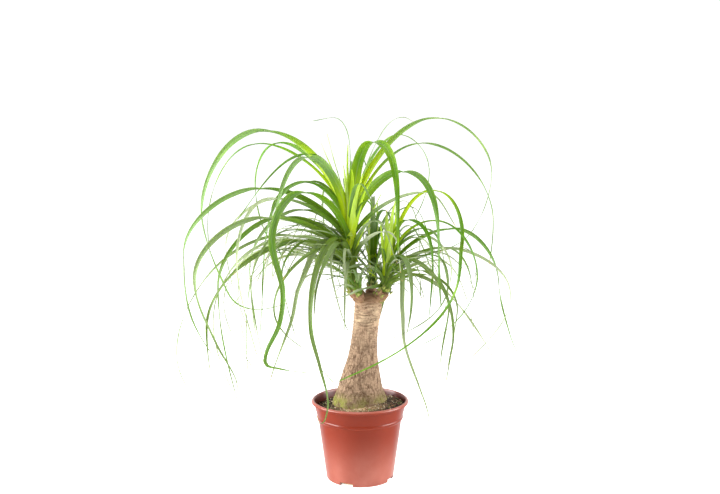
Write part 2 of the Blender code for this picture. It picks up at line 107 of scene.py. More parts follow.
class PalmSoilSettings(PropertyGroup):
    dark: colour_setting("Peat colour", "Colour of the damp peat", srgb(52, 38, 32))
    grit: colour_setting("Grit colour", "Colour of the pale grit", srgb(196, 178, 150))
    crumbs: number_setting("Crumbs", "How many loose crumbs lie on the soil", 0, 4000, 2300,
                           IntProperty)


class PalmTrunkSettings(PropertyGroup):
    bark: colour_setting("Bark colour", "Colour of the dry bark", srgb(188, 162, 131))
    crack: colour_setting("Crack colour", "Colour down in the cracks", srgb(72, 46, 30))
    moss: colour_setting("Moss colour", "Colour of the moss at the foot", srgb(152, 168, 52))
    rings: number_setting("Rings", "Rings of points up the trunk", 60, 400, 250, IntProperty)
    around: number_setting("Around", "Points around the trunk", 48, 320, 200, IntProperty)


class PalmLeafSettings(PropertyGroup):
    young: colour_setting("Young colour", "Colour of the heart's leaves", srgb(166, 200, 28))
    mature: colour_setting("Mature colour", "Colour of full-grown leaves", srgb(66, 114, 2))
    old: colour_setting("Old colour", "Colour of the oldest leaves", srgb(77, 100, 34))
    thick: number_setting("Thickness", "Thickness of a blade's middle in millimetres",
                          0.3, 2, 0.7)
    step: number_setting("Step", "Length of a blade's pieces in millimetres", 4, 40, 9)


class PalmStageSettings(PropertyGroup):
    floor: colour_setting("Floor colour", "Colour of the plain floor", (0.92, 0.92, 0.92))
    surround: number_setting("Surround", "Brightness of the pale surround", 0, 4, 1.08)
    fill: number_setting("Fill", "Brightness of the surround at the sides", 0, 1, 0.34,
                         subtype="FACTOR")
    lamps: number_setting("Lamps", "Power of each soft lamp", 0, 200, 26, subtype="POWER",
                          unit="POWER")


class PalmSettings(PropertyGroup):
    pot: PointerProperty(type=PalmPotSettings)
    soil: PointerProperty(type=PalmSoilSettings)
    trunk: PointerProperty(type=PalmTrunkSettings)
    leaf: PointerProperty(type=PalmLeafSettings)
    stage: PointerProperty(type=PalmStageSettings)


# ------------------------------------------------------------------------- nodes
class Nodes:
    """Adds nodes to one tree. An input is a plain value or a socket to link."""

    def __init__(self, tree):
        self.tree = tree

    def feed(self, node, inputs):
        for key, value in inputs.items():
            socket = node.inputs[key]
            if isinstance(value, bpy.types.NodeSocket):
                self.tree.links.new(value, socket)
            elif socket.type == "RGBA" and len(value) == 3:
                socket.default_value = (*value, 1)
            else:
                socket.default_value = value

    def add(self, kind, inputs=None, **settings):
        made = self.tree.nodes.new("ShaderNode" + kind)
        for key, value in settings.items():
            setattr(made, key, value)
        self.feed(made, inputs or {})
        return made

    def math(self, operation, first, second=0.0):
        return self.add("Math", {0: first, 1: second}, operation=operation).outputs[0]

    def times(self, first, *factors):
        for factor in factors:
            first = self.math("MULTIPLY", first, factor)
        return first

    def plus(self, first, second):
        return self.math("ADD", first, second)

    def ramp(self, value, low, high, start=0.0, end=1.0):
        """value taken smoothly from start to end as it runs from low to high."""
        return self.add("MapRange", {"Value": value, "From Min": low, "From Max": high,
                                     "To Min": start, "To Max": end},
                        interpolation_type="SMOOTHSTEP").outputs["Result"]

    def mix(self, factor, first, second):
        return self.add("Mix", {0: factor, 6: first, 7: second}, data_type="RGBA").outputs[2]

    def place(self):
        return self.add("TexCoord").outputs["Object"]

    def noise(self, place, scale, detail, roughness=0.5):
        return self.add("TexNoise", {"Vector": place, "Scale": scale, "Detail": detail,
                                     "Roughness": roughness}).outputs["Fac"]

    def stretch(self, place, *scale):
        return self.add("Mapping", {"Vector": place, "Scale": scale}).outputs[0]

    def split(self, place):
        return self.add("SeparateXYZ", {0: place}).outputs

    def attribute(self, name):
        return self.add("Attribute", attribute_name=name).outputs["Fac"]

    def effect(self, group, inputs):
        return self.add("Group", inputs, node_tree=group).outputs

    def mottle(self, colour, patch, speck, amounts, scales):
        """Place the mottle; amounts and scales are those of its patches and its specks."""
        return self.effect(mottle_effect(), {
            "Colour": colour, "Patch Colour": patch, "Speck Colour": speck,
            "Patch Amount": amounts[0], "Speck Amount": amounts[1],
            "Patch Scale": scales[0], "Speck Scale": scales[1]})

    def bump(self, height, strength, distance):
        return self.add("Bump", {"Height": height, "Strength": strength,
                                 "Distance": distance}).outputs["Normal"]


def fresh_material(name):
    made = bpy.data.materials.new(name)
    made.use_nodes = True
    return made, Nodes(made.node_tree), made.node_tree.nodes["Principled BSDF"]


def shared_effect(name, inputs, outputs, build):
    """A shader node group, built once. inputs is {name: default}."""
    tree = bpy.data.node_groups.get(name)
    if tree:
        return tree
    tree = bpy.data.node_groups.new(name, "ShaderNodeTree")
    for label, default in inputs.items():
        coloured = isinstance(default, tuple)
        socket = tree.interface.new_socket(
            label, in_out="INPUT", socket_type="NodeSocket" + ("Float", "Color")[coloured])
        socket.default_value = (*default, 1) if coloured else default
    for label in outputs:
        tree.interface.new_socket(
            label, in_out="OUTPUT",
            socket_type="NodeSocket" + ("Float", "Color")[label == "Colour"])
    entry = tree.nodes.new("NodeGroupInput")
    leave = tree.nodes.new("NodeGroupOutput")
    for label, socket in build(Nodes(tree), entry.outputs).items():
        tree.links.new(socket, leave.inputs[label])
    return tree


def mottle_effect():
    """Soft patches and fine specks over a base colour."""
    def build(nodes, given):
        place, colour, spots = nodes.place(), given["Colour"], {}
        for kind, detail, roughness, low, high in (("Patch", 4.0, 0.6, 0.4, 0.66),
                                                   ("Speck", 3.0, 0.7, 0.52, 0.68)):
            spots[kind] = nodes.noise(place, given[kind + " Scale"], detail, roughness)
            share = nodes.times(nodes.ramp(spots[kind], low, high), given[kind + " Amount"])
            colour = nodes.mix(share, colour, given[kind + " Colour"])
        return {"Colour": colour, "Patches": spots["Patch"], "Specks": spots["Speck"]}

    return shared_effect("mottle", {
        "Colour": (0.5, 0.5, 0.5), "Patch Colour": (0.4, 0.4, 0.4),
        "Speck Colour": (0.2, 0.2, 0.2), "Patch Amount": 0.5, "Speck Amount": 0.5,
        "Patch Scale": 30.0, "Speck Scale": 400.0}, ("Colour", "Patches", "Specks"), build)


def leaf_effect():
    """Leaf colour from foot to tip by age, with painted shade past an age of 1, a painted sheen
    past the crest and fine lengthwise veins.
    """
    def build(nodes, given):
        ramp, times = nodes.ramp, nodes.times
        age, along, across, tint = (given[key] for key in ("Age", "Along", "Across", "Tint"))
        place = nodes.place()
        cloud = nodes.noise(place, 22.0, 3.0)
        older = nodes.plus(age, times(nodes.math("SUBTRACT", cloud, 0.5), 0.5))
        colour = given["Young"]
        # Past an age of 1 the colour goes darker still: painted shade on the stems and fine leaves
        # in the crown.
        for low, high, name in ((0.05, 0.5, "Mature"), (0.5, 1.0, "Old"), (1.0, 1.5, "Crown Shade")):
            colour = nodes.mix(ramp(older, low, high), colour, given[name])
        # Painted sheen: some leaves turn paler over and past their crest, where they would catch
        # the light.
        arch = times(ramp(along, 0.16, 0.42), ramp(along, 0.7, 0.95, 1.0, 0.8))
        painted_sheen = times(nodes.math("POWER", tint, 1.2), ramp(age, 0.46, 0.7, 0.35, 1.0),
                        times(arch, 0.7))
        colour = nodes.mix(painted_sheen, colour, given["Sheen And Midrib"])
        off_middle = nodes.math("ABSOLUTE", across)
        foot = times(ramp(along, 0.08, 0.36, 1.0, 0.0), ramp(age, 0.47, 0.64, 1.0, 0.1),
                     ramp(off_middle, 0.4, 1.0, 1.0, 0.45), given["Foot Amount"])
        colour = nodes.mix(foot, colour, given["Foot"])
        dry = times(ramp(along, 0.955, 0.99), ramp(nodes.plus(age, tint), 0.7, 1.2))
        colour = nodes.mix(dry, colour, given["Dry"])
        stripe = nodes.math("SINE", times(across, 26.0))
        veins = times(stripe, ramp(nodes.noise(place, 300.0, 2.0), 0.2, 0.8, 0.3, 1))
        colour = nodes.mix(times(ramp(veins, 0.1, 1.0), 0.3), colour, given["Old"])
        midrib = times(ramp(off_middle, 0.0, 0.16, 1.0, 0.0), 0.14)
        return {"Colour": nodes.mix(midrib, colour, given["Sheen And Midrib"]), "Veins": veins}

    return shared_effect("leaf_blade", {
        "Age": 0.5, "Along": 0.5, "Across": 0.0, "Tint": 0.5, "Young": (0.35, 0.5, 0.05),
        "Mature": (0.14, 0.27, 0.05), "Old": (0.06, 0.13, 0.04), "Sheen And Midrib": (0.45, 0.52, 0.3),
        "Foot": (0.5, 0.55, 0.15), "Foot Amount": 0.8, "Dry": (0.45, 0.3, 0.15),
        "Crown Shade": (0.03, 0.07, 0.02)}, ("Colour", "Veins"), build)


def bark_effect():
    """Cracks that run mostly up and down low on the trunk and across it higher up."""
    def build(nodes, given):
        place = nodes.place()
        high = nodes.ramp(given["Height"], 0.45, 0.9)
        warp = nodes.add("TexNoise", {"Vector": place, "Scale": 60.0, "Detail": 2.0})
        shift = nodes.add("VectorMath", {0: warp.outputs["Color"], "Scale": 0.005},
                          operation="SCALE").outputs[0]
        broken = nodes.ramp(nodes.noise(place, 90.0, 3.0), 0.32, 0.55, 0.35, 1.0)
        cracks = []
        for stretched, scale, weight in (
                ((1.0, 1.0, 0.13), 180.0, nodes.math("SUBTRACT", 1.0, nodes.times(high, 0.65))),
                ((0.16, 0.16, 1.0), 210.0, nodes.plus(0.6, nodes.times(high, 0.3)))):
            bent = nodes.add("VectorMath", {0: nodes.stretch(place, *stretched), 1: shift},
                             operation="ADD").outputs[0]
            fibre = nodes.noise(bent, scale, 3.0, 0.65)
            off = nodes.math("ABSOLUTE", nodes.math("SUBTRACT", fibre, 0.5))
            cracks.append(nodes.times(nodes.ramp(off, 0.0, 0.065, 1.0, 0.0), broken, weight))
        return {"Cracks": nodes.math("MAXIMUM", *cracks)}

    return shared_effect("bark_cracks", {"Height": 0.5}, ("Cracks",), build)


# ------------------------------------------------------------------------- meshes
def add_object(name, data):
    thing = bpy.data.objects.new(name, data)
    bpy.context.scene.collection.objects.link(thing)
    return thing


def new_piece(name, points, faces, paint, slot, replaces=(), smooth=60, **values):
    mesh = bpy.data.meshes.new(name)
    mesh.from_pydata([tuple(p) for p in points], [], [tuple(f) for f in faces])
    mesh.materials.append(paint)
    mesh.validate()
    finish_piece(add_object(name, mesh), slot, replaces, smooth, **values)


def finish_piece(thing, slot, replaces=(), smooth=60, **values):
    """Smooth a piece, hang it on the frame and give its points their named values."""
    if smooth:
        for face in thing.data.polygons:
            face.use_smooth = True
        thing.data.set_sharp_from_angle(angle=radians(smooth))
    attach(thing, "root")
    if replaces:
        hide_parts(*replaces)
    for name, numbers in values.items():
        layer = thing.data.attributes.new(name, "FLOAT", "POINT")
        layer.data.foreach_set("value", np.asarray(numbers, np.float32))


def tube_faces(around, loops, start=0, inward=False):
    """Faces between the rings of points that make a tube, and over its two ends."""
    last = start + (loops - 1) * around
    foot, top = range(start, start + around), range(last, last + around)
    sides = [(a + i, a + (i + 1) % around, a + around + (i + 1) % around, a + around + i)
             for a in range(start, last, around) for i in range(around)]
    if inward:
        return [(a, d, c, b) for a, b, c, d in sides] + [foot, top[::-1]]
    return sides + [foot[::-1], top]


def simple_mesh(name, maker, place=None, **values):
    """A mesh from one of bmesh's own shapes, moved to its place."""
    mesh, shape = bpy.data.meshes.new(name), bmesh.new()
    maker(shape, **values)
    if place:
        bmesh.ops.transform(shape, matrix=place, verts=shape.verts)
    shape.to_mesh(mesh)
    shape.free()
    return mesh


def helper(maker, centre, turn, size_mm=None, **values):
    """A shape for a boolean, moved out along its own Y (mm) and then turned about Z."""
    place = Matrix.Rotation(radians(turn), 4, "Z") @ Matrix.Translation(
        Vector(centre) * MM)
    if size_mm:
        place = place @ Matrix.Diagonal((*(Vector(size_mm) * MM), 1))
    return bpy.data.objects.new("helper", simple_mesh("helper", maker, place, **values))


def apply_modifiers(thing):
    bpy.context.view_layer.update()
    graph = bpy.context.evaluated_depsgraph_get()
    baked = bpy.data.meshes.new_from_object(thing.evaluated_get(graph), depsgraph=graph)
    thing.modifiers.clear()
    old, thing.data = thing.data, baked
    bpy.data.meshes.remove(old)


def turned(name, profile, sides):
    """A body turned about Z from (radius, height) points in mm."""
    mesh = bpy.data.meshes.new(name)
    mesh.from_pydata([(r * MM, 0, z * MM) for r, z in profile],
                     [(i, i + 1) for i in range(len(profile) - 1)], [])
    thing = add_object(name, mesh)
    screw = thing.modifiers.new("Turn", "SCREW")
    screw.steps = screw.render_steps = sides
    screw.use_merge_vertices = True
    screw.merge_threshold = 0.0001
    apply_modifiers(thing)
    return thing


def rounded(points, reach, steps):
    """A polyline in the plane with its inner corners rounded off."""
    line, spots = [points[0]], np.array(points, float)
    for a, b, c in zip(spots, spots[1:], spots[2:]):
        back, on = norm(a - b), norm(c - b)
        cut = min(reach, back * 0.45, on * 0.45)
        start, end = b + (a - b) / back * cut, b + (c - b) / on * cut
        line += [tuple((1 - t) ** 2 * start + 2 * t * (1 - t) * b + t * t * end)
                 for t in (i / steps for i in range(steps + 1))]
    return line + [points[-1]]


def combine(thing, helpers, operation):
    group = bpy.data.collections.new("helpers")
    bpy.context.scene.collection.children.link(group)
    for used in helpers:
        group.objects.link(used)
    cut = thing.modifiers.new("Combine", "BOOLEAN")
    cut.operation, cut.solver = operation, "EXACT"
    cut.operand_type, cut.collection = "COLLECTION", group
    apply_modifiers(thing)
    for used in helpers:
        bpy.data.objects.remove(used)
    bpy.data.collections.remove(group)


# ------------------------------------------------------------------------- pot
# all in mm
COLLAR_TOP_R, COLLAR_FOOT_R, STEP_Z, STEP_R, FOOT_R = 82.0, 76.6, 111.0, 74.9, 60.0
LIP_DEEP, FLOOR = 6.0, 2.0
NOTCH_WIDE, NOTCH_HIGH, NOTCH_INNER = 25.0, 6.5, 44.0
NOTCH_TURNS = [-24.0 + 90 * i for i in range(4)]
DRAIN_R, DRAIN_OUT = 3.5, 50.5
SOIL_EDGE_Z, SOIL_CROWN_Z, HEAP, HEAP_TURN = 128.0, 134.0, 4.5, -35.0


def inner_radius(z, wall=1.6):
    """Inside radius of the pot at a height, in mm."""
    return float(np.interp(
        z, (FLOOR + 1.5, STEP_Z - 2, STEP_Z + 2, POT_HIGH - LIP_DEEP - 1),
        [radius - wall for radius in (FOOT_R, STEP_R, COLLAR_FOOT_R, COLLAR_TOP_R)]))


def plastic_material(settings):
    """Satin plastic, painted shade inside; dust and painted floor reflection low down; painted
    highlight on the lip.
    """
    made, nodes, shader = fresh_material("clay_plastic")
    clay, place, inside = tuple(settings.colour), nodes.place(), nodes.attribute("inside")
    tone = nodes.mottle(clay, tuple(c * 0.86 for c in clay),
                        tuple(min(1, c * 1.25 + 0.02) for c in clay), (0.35, 0.12), (16.0, 700.0))
    scuff = nodes.noise(nodes.stretch(place, 1.0, 1.0, 0.05), 160.0, 3.0)
    height = nodes.split(place)["Z"]
    # Paler low on the wall in dusty patches that also paint in the bright floor's reflection, and
    # a pale band on top of the lip, a painted highlight.
    dust = nodes.plus(nodes.times(nodes.ramp(height, 0.0, 0.105, 1.0, 0.0),
                                  nodes.ramp(tone["Patches"], 0.3, 0.75, 0.2, 0.36)),
                      nodes.ramp(height, 0.139, 0.1432, 0.0, 0.2))
    colour = nodes.mix(dust, tone["Colour"], srgb(220, 148, 130))
    nodes.feed(shader, {
        # Painted shade: the inside wall, marked by the inside value, is darker than the outside.
        "Base Color": nodes.mix(nodes.times(inside, 0.8), colour, srgb(96, 36, 30)),
        "Roughness": nodes.plus(settings.roughness - 0.06, nodes.times(scuff, 0.14)),
        "Specular IOR Level": 0.5, "Coat Roughness": 0.16,
        "Coat Weight": nodes.ramp(inside, 0.0, 1.0, 0.22, 0.0),
        "Normal": nodes.bump(nodes.plus(tone["Specks"], nodes.times(scuff, 0.6)),
                             0.04, 0.0003)})
    return made


class PalmMakePot(Operator):
    """Turn the pot, round its lip and cut the pockets under its base"""
    bl_idname = "palm.make_pot"
    bl_label = "Pot"

    def execute(self, context):
        settings = context.scene.palm.pot
        wall, lip = settings.wall, POT_HIGH - LIP_DEEP
        outline = [
            (0, FLOOR), (FOOT_R - wall, FLOOR), (STEP_R - wall, STEP_Z - 2),
            (COLLAR_FOOT_R - wall, STEP_Z + 2), (COLLAR_TOP_R - wall, lip - 1),
            (COLLAR_TOP_R - 0.4, POT_HIGH - 2.4), (COLLAR_TOP_R + 0.6, POT_HIGH - 0.2),
            (LIP_R - 2.4, POT_HIGH), (LIP_R + 0.05, POT_HIGH - 2.2), (LIP_R - 0.1, lip + 0.9),
            (LIP_R - 1.3, lip - 0.05), (LIP_R - 2.3, lip + 0.4), (LIP_R - 3.2, POT_HIGH - 3.2),
            (COLLAR_TOP_R + 0.9, lip + 1.2), (COLLAR_TOP_R, lip - 2.4),
            (COLLAR_FOOT_R + 0.5, STEP_Z + 4.4), (COLLAR_FOOT_R + 1.15, STEP_Z + 2.6),
            (COLLAR_FOOT_R + 1.05, STEP_Z + 0.2), (COLLAR_FOOT_R - 0.9, STEP_Z - 1.6),
            (STEP_R - 0.1, STEP_Z - 3.0), (FOOT_R + 0.35, 1.6), (FOOT_R - 0.9, 0), (0, 0),
        ]
        pot = turned("pot_moulded", rounded(outline, 1.6, 4), settings.sides)
        block, inner, outer = bmesh.ops.create_cube, NOTCH_INNER - 2, FOOT_R - wall - 0.1
        combine(pot, [helper(
            block, (0, -(outer + inner) / 2, (NOTCH_HIGH + 3) / 2 + 0.5), turn,
            (NOTCH_WIDE + 4, outer - inner, NOTCH_HIGH + 1), size=1)
            for turn in NOTCH_TURNS], "UNION")
        notches = [helper(block, (0, -(NOTCH_INNER + 15), 0), turn,
                          (NOTCH_WIDE, 30, NOTCH_HIGH * 2), size=1) for turn in NOTCH_TURNS]
        drains = [helper(bmesh.ops.create_cone, (0, -DRAIN_OUT, 8), turn, cap_ends=True,
                         segments=24, radius1=DRAIN_R * MM, radius2=DRAIN_R * MM,
                         depth=12 * MM) for turn in NOTCH_TURNS]
        combine(pot, notches + drains, "DIFFERENCE")
        pot.data.materials.clear()
        pot.data.materials.append(plastic_material(settings))
        spots = [v.co / MM for v in pot.data.vertices]
        finish_piece(pot, "clay_plastic", ["pot"], smooth=42, inside=[
            p.z > FLOOR + 0.5 and hypot(p.x, p.y) < inner_radius(p.z, wall) + 0.5
            for p in spots])
        return {"FINISHED"}


# ------------------------------------------------------------------------- soil
# height, radius and centre's offset along X, in mm: the shaft, then the whole trunk as it
# looks, and as the leaves keep clear of it
SHAFT = ((155, 44, -0.6), (170, 39.6, 0), (185, 35.4, 1), (200, 31.2, 2), (217, 27.4, 3.8),
         (235, 24.8, 5.6), (256, 23.3, 8), (279, 22.8, 10.8), (300, 23.8, 13))
TRUNK = ((128, 47, -1.5), (132, 50, -1.5), (137, 50.2, -1.4), (142, 48.4, -1.2), *SHAFT,
         (316, 25.0, 15), (326, 24.0, 15.5), (332, 20.0, 16), (336, 12.0, 16), (337, 0.5, 16))
SOLID_TRUNK = ((132, 46, -1.5), (134, 50.5, -1.5), (142, 48, -1.2), *SHAFT, (316, 25.5, 15),
               (326, 24.5, 15.5), (333, 19.0, 16))
TRUNK_FOOT, TRUNK_TOP = TRUNK[0][0], TRUNK[-1][0]
TRUNK_BOTTOM, ROOT_R = 112.0, 45.5          # where the root ends, down in the soil


def trunk_at(z):
    """Radius and centre's offset of the trunk at a height, smoothed, in mm."""
    heights, *measures = zip(*TRUNK)
    spread = (-4, -2, 0, 2, 4) if z < 322 else (0,)
    return [float(sum(np.interp(z + s, heights, measure) for s in spread)) / len(spread)
            for measure in measures]


def heap_at(x, y):
    """How much higher the soil is heaped toward the front right, in mm."""
    lean = 1 + cos(atan2(y, x) - radians(HEAP_TURN))
    return HEAP * lean * min(1.0, hypot(x, y) / 50)


def rim_at(turn):
    """How far out the soil reaches in one direction, in mm."""
    edge = SOIL_EDGE_Z + heap_at(*polar(80, turn))
    return inner_radius(edge) - 0.25


def ground_at(x, y):
    """Height of the soil's surface in mm."""
    base = np.interp(hypot(x + 1.5, y), (44, 54, 66, rim_at(atan2(y, x))),
                     (SOIL_CROWN_Z + 0.5, SOIL_CROWN_Z, (SOIL_CROWN_Z + SOIL_EDGE_Z) / 2,
                      SOIL_EDGE_Z))
    spot = Vector((x, y, 0))
    rough = noise.noise(spot * 0.07) * 1.6 + noise.noise(spot * 0.25) * 0.9
    return float(base) + heap_at(x, y) + rough + noise.noise(spot * 0.8) * 0.5


def sandy_at(x, y):
    """How much pale bark dust lies at a spot: 1 close in front of the trunk, 0 elsewhere."""
    front = exp(-((degrees(atan2(y, x)) + 92) / 42) ** 2)
    return front * min(1.0, max(0.0, (70 - hypot(x, y)) / 12))


def soil_material(name, settings, loose):
    """Damp peat with pale dust; loose crumbs are peat, chips, grit or bits of moss by kind."""
    made, nodes, shader = fresh_material(name)
    dark, grit = tuple(settings.dark), tuple(settings.grit)
    tone = nodes.mottle(dark, tuple(c * 0.45 for c in dark),
                        tuple(0.5 * a + 0.3 * b for a, b in zip(dark, grit)),
                        (0.8, 0.75), (70.0, 620.0))
    dust = nodes.times(nodes.attribute("sandy"), nodes.ramp(tone["Specks"], 0.36, 0.5, 0.35, 1.0))
    colour = nodes.mix(dust, tone["Colour"], srgb(178, 152, 112))
    if loose:
        kind = nodes.attribute("kind")
        for low, high, paint in ((0.55, 0.6, srgb(126, 92, 66)), (0.76, 0.8, grit),
                                 (0.94, 0.96, srgb(96, 112, 52))):
            colour = nodes.mix(nodes.ramp(kind, low, high), colour, paint)
    nodes.feed(shader, {"Base Color": colour, "Roughness": 0.92, "Specular IOR Level": 0.2,
                        "Normal": nodes.bump(tone["Specks"], 0.7, 0.001)})
    return made


class PalmMakeSoil(Operator):
    """Lay the soil's rough surface and strew it with crumbs, grit and chips"""
    bl_idname = "palm.make_soil"
    bl_label = "Soil"

    def execute(self, context):
        settings = context.scene.palm.soil
        around, inner = 240, 30
        turns = [tau * i / around for i in range(around)]
        points = []
        for share in np.linspace(0, 1, 45):
            for turn in turns:
                x, y = polar(inner + (rim_at(turn) - inner) * share, turn)
                points.append((x * MM, y * MM, ground_at(x, y) * MM))
        for z, gap in ((120, 0.4), (114, 0.5), (108, 0.4), (60, 0.4), (8, 0.4), (3, 2.5)):
            points += [(x * MM, y * MM, z * MM) for x, y in (
                polar(inner_radius(z) - gap, turn) for turn in turns)]
        new_piece("soil_bed", points, tube_faces(around, len(points) // around, inward=True),
                  soil_material("potting_soil", settings, False), "potting_soil", ["soil"],
                  smooth=70, sandy=[sandy_at(p[0] / MM, p[1] / MM) for p in points])
        self.strew(settings)
        return {"FINISHED"}

    @staticmethod
    def strew(settings):
        """Lay the loose crumbs: long chips and peat, and rounder grit, each a lumpy pebble."""
        draw = random.Random(7)
        pebble = simple_mesh("pebble", bmesh.ops.create_icosphere, subdivisions=1, radius=1)
        grain = np.array([tuple(v.co) for v in pebble.vertices])
        sides = [tuple(f.vertices) for f in pebble.polygons]
        foot = trunk_at(133)[0] - 3
        points, faces, kinds, dusts = [], [], [], []
        for _ in range(settings.crumbs):
            turn = draw.uniform(0, tau)
            reach = foot + (rim_at(turn) - 1.2 - foot) * sqrt(draw.random())
            x, y = polar(reach, turn)
            sandy = sandy_at(x, y)
            kind = draw.random() ** (1 - 0.8 * sandy)
            size = draw.uniform(0.5, 1.15) * (1.45 if 0.76 < kind < 0.8 else 1)
            if draw.random() < 0.1:
                size *= 1.9
            flat = draw.uniform(0.4, 0.9)
            long = draw.uniform(1.0, 2.4) if kind < 0.78 else draw.uniform(1, 1.3)
            lean = Matrix.Rotation(draw.uniform(0, tau), 3, "Z") @ Matrix.Rotation(
                draw.uniform(-0.5, 0.5), 3, "X")
            lumps = np.array([draw.uniform(0.75, 1.2) for _ in grain])[:, None]
            body = (grain * lumps * (size * long, size, size * flat)) @ np.array(lean).T
            spot = np.array((x, y, ground_at(x, y) + size * flat * 0.35))
            faces += [tuple(len(points) + i for i in side) for side in sides]
            points += [tuple(p * MM) for p in body + spot]
            kinds += [kind] * len(grain)
            dusts += [sandy * 0.6] * len(grain)
        new_piece("soil_crumbs", points, faces, soil_material("soil_grit", settings, True),
                  "potting_soil", smooth=0, kind=kinds, sandy=dusts)


# ------------------------------------------------------------------------- trunk
def bark_material(settings):
    """Cracked dry bark: browner and mossy at the foot, with painted shade low down, dark and
    ragged at the crown.
    """
    made, nodes, shader = fresh_material("trunk_bark")
    ramp, times, mix = nodes.ramp, nodes.times, nodes.mix
    bark, crack = tuple(settings.bark), tuple(settings.crack)
    height, hollow = nodes.attribute("height"), nodes.attribute("hollow")
    tone = nodes.mottle(bark, srgb(178, 142, 114), srgb(224, 202, 168), (0.7, 0.4),
                        (46.0, 420.0))
    browner = mix(times(ramp(height, 0.5, 0.85, 1.0, 0.0), 0.9), tone["Colour"],
                  tuple(c * f for c, f in zip(bark, (0.66, 0.61, 0.6))))
    cracks = nodes.effect(bark_effect(), {"Height": height})["Cracks"]
    colour = mix(times(cracks, 0.88), browner, crack)
    colour = mix(times(hollow, 0.45), colour, crack)
    place = nodes.place()
    damp, across = nodes.noise(place, 55.0, 5.0, 0.65), nodes.split(place)["X"]
    mossy = times(ramp(height, 0.05, 0.18, 1.0, 0.0), ramp(across, -0.045, 0.0, 1.0, 0.6),
                  ramp(damp, 0.36, 0.58))
    colour = mix(times(mossy, 0.8), colour, tuple(settings.moss))
    # Painted shade: darker brown towards the foot of the trunk, less on its left side.
    painted_foot_shade = times(ramp(height, 0.03, 0.3, 0.34, 0.0), ramp(across, -0.045, -0.015, 0.3, 1.0))
    colour = mix(painted_foot_shade, colour, srgb(84, 62, 36))
    crown = times(ramp(height, 0.86, 0.97), ramp(damp, 0.3, 0.6, 0.4, 0.95))
    relief = nodes.math("SUBTRACT", times(tone["Specks"], 0.5), cracks)
    nodes.feed(shader, {"Base Color": mix(crown, colour, srgb(140, 104, 76)),
                        "Roughness": nodes.plus(0.78, times(cracks, 0.15)),
                        "Specular IOR Level": 0.3, "Normal": nodes.bump(relief, 0.8, 0.0012)})
    return made


def bark_relief(turn, z, radius):
    """How far the bark stands out (mm) and how deep in a hollow it lies (0 to 1)."""
    x, y = polar(radius, turn)

    def lumps(across, up, shift=0):
        return noise.noise(Vector((x * across, y * across, z * up + shift)))

    low = min(1.0, max(0.0, (300 - z) / 90))
    out = lumps(0.045, 0.02) * 1.6 * (0.4 + 0.6 * low)
    lobes = max(0.0, 1 - (z - TRUNK_FOOT) / 45)
    out += lobes * 1.9 * sin(3 * turn + 0.7) + lobes * 1.1 * sin(7 * turn + 1.9)
    furrow = lumps(0.34, 0.075) + 0.6 * lumps(0.75, 0.16, 9)
    level = lumps(0.09, 0.62, 3) + 0.7 * lumps(0.16, 1.25)
    cut = low * furrow + (1 - low) * level
    deep, ridge = max(0.0, cut - 0.12), max(0.0, -cut - 0.2)
    ring = (1 - low) * 0.35 * sin(z * 0.95 + 1.5 * noise.noise(Vector((x, y, z)) * 0.05))
    return out - 1.5 * deep + 0.5 * ridge + ring, min(1.0, deep * 1.9)


def ring_points(centre, axis, radius, count):
    axis = axis.normalized()
    across = (Vector((0, 1, 0)) - axis * axis.y).normalized()
    third = axis.cross(across)
    return [centre + radius * (across * cos(tau * i / count)
                               + third * sin(tau * i / count)) for i in range(count)]


def stem_rings(start, run, steps, count):
    """Ring by ring, a stem's points: ring, place in it, share of the length, middle, spot."""
    for k in range(steps + 1):
        centre = start + run * (k / steps)
        for i, spot in enumerate(ring_points(centre, run, 1.0, count)):
            yield k, i, k / steps, centre, spot


class PalmMakeTrunk(Operator):
    """Raise the swollen trunk with its cracked bark, and the stubs that carry the heads"""
    bl_idname = "palm.make_trunk"
    bl_label = "Trunk"

    def execute(self, context):
        settings = context.scene.palm.trunk
        rings, around = settings.rings, settings.around
        bark = bark_material(settings)
        points, heights, hollows = [], [], []
        for k in range(rings + 1):
            z = TRUNK_BOTTOM + (TRUNK_TOP - TRUNK_BOTTOM) * k / rings
            radius, centre = trunk_at(max(z, TRUNK_FOOT))
            if z < TRUNK_FOOT:
                radius = ROOT_R
            fade = min(1.0, radius / 12) * (1 if z > TRUNK_FOOT else 0.2)
            for i in range(around):
                turn = tau * i / around
                out, deep = bark_relief(turn, z, radius)
                x, y = polar(max(0.4, radius + out * fade), turn)
                points.append(((centre + x) * MM, y * MM, z * MM))
                heights.append((z - TRUNK_FOOT) / (TRUNK_TOP - TRUNK_FOOT))
                hollows.append(deep)
        new_piece("trunk_bark", points, tube_faces(around, rings + 1), bark, "trunk_bark",
                  ["trunk"], smooth=75, height=heights, hollow=hollows)

        points, faces, hollows, count, steps = [], [], [], 48, 26
        for head in HEADS.values():
            root = Vector(head["root"])
            run, wide = Vector(head["foot"]) - root, head["radii"][0] + 0.6
            faces += tube_faces(count, steps + 1, len(points))
            for k, _, t, centre, spot in stem_rings(root, run, steps, count):
                lump = noise.noise(Vector(spot) * 0.11) * 1.7
                ripple = 0.8 * sin(t * 26 + noise.noise(Vector(spot) * 0.08) * 3)
                reach = wide * np.interp(t, (0, 0.5, 1), (0.72, 0.86, 0.96)) + lump + ripple
                reach *= 0.25 if k == steps else 1
                points.append((centre + (spot - centre) * reach) * MM)
                hollows.append(max(0.0, -ripple * 0.8))
        new_piece("branch_stubs", points, faces, bark, "trunk_bark", smooth=70,
                  height=[0.97] * len(points), hollow=hollows)
        return {"FINISHED"}


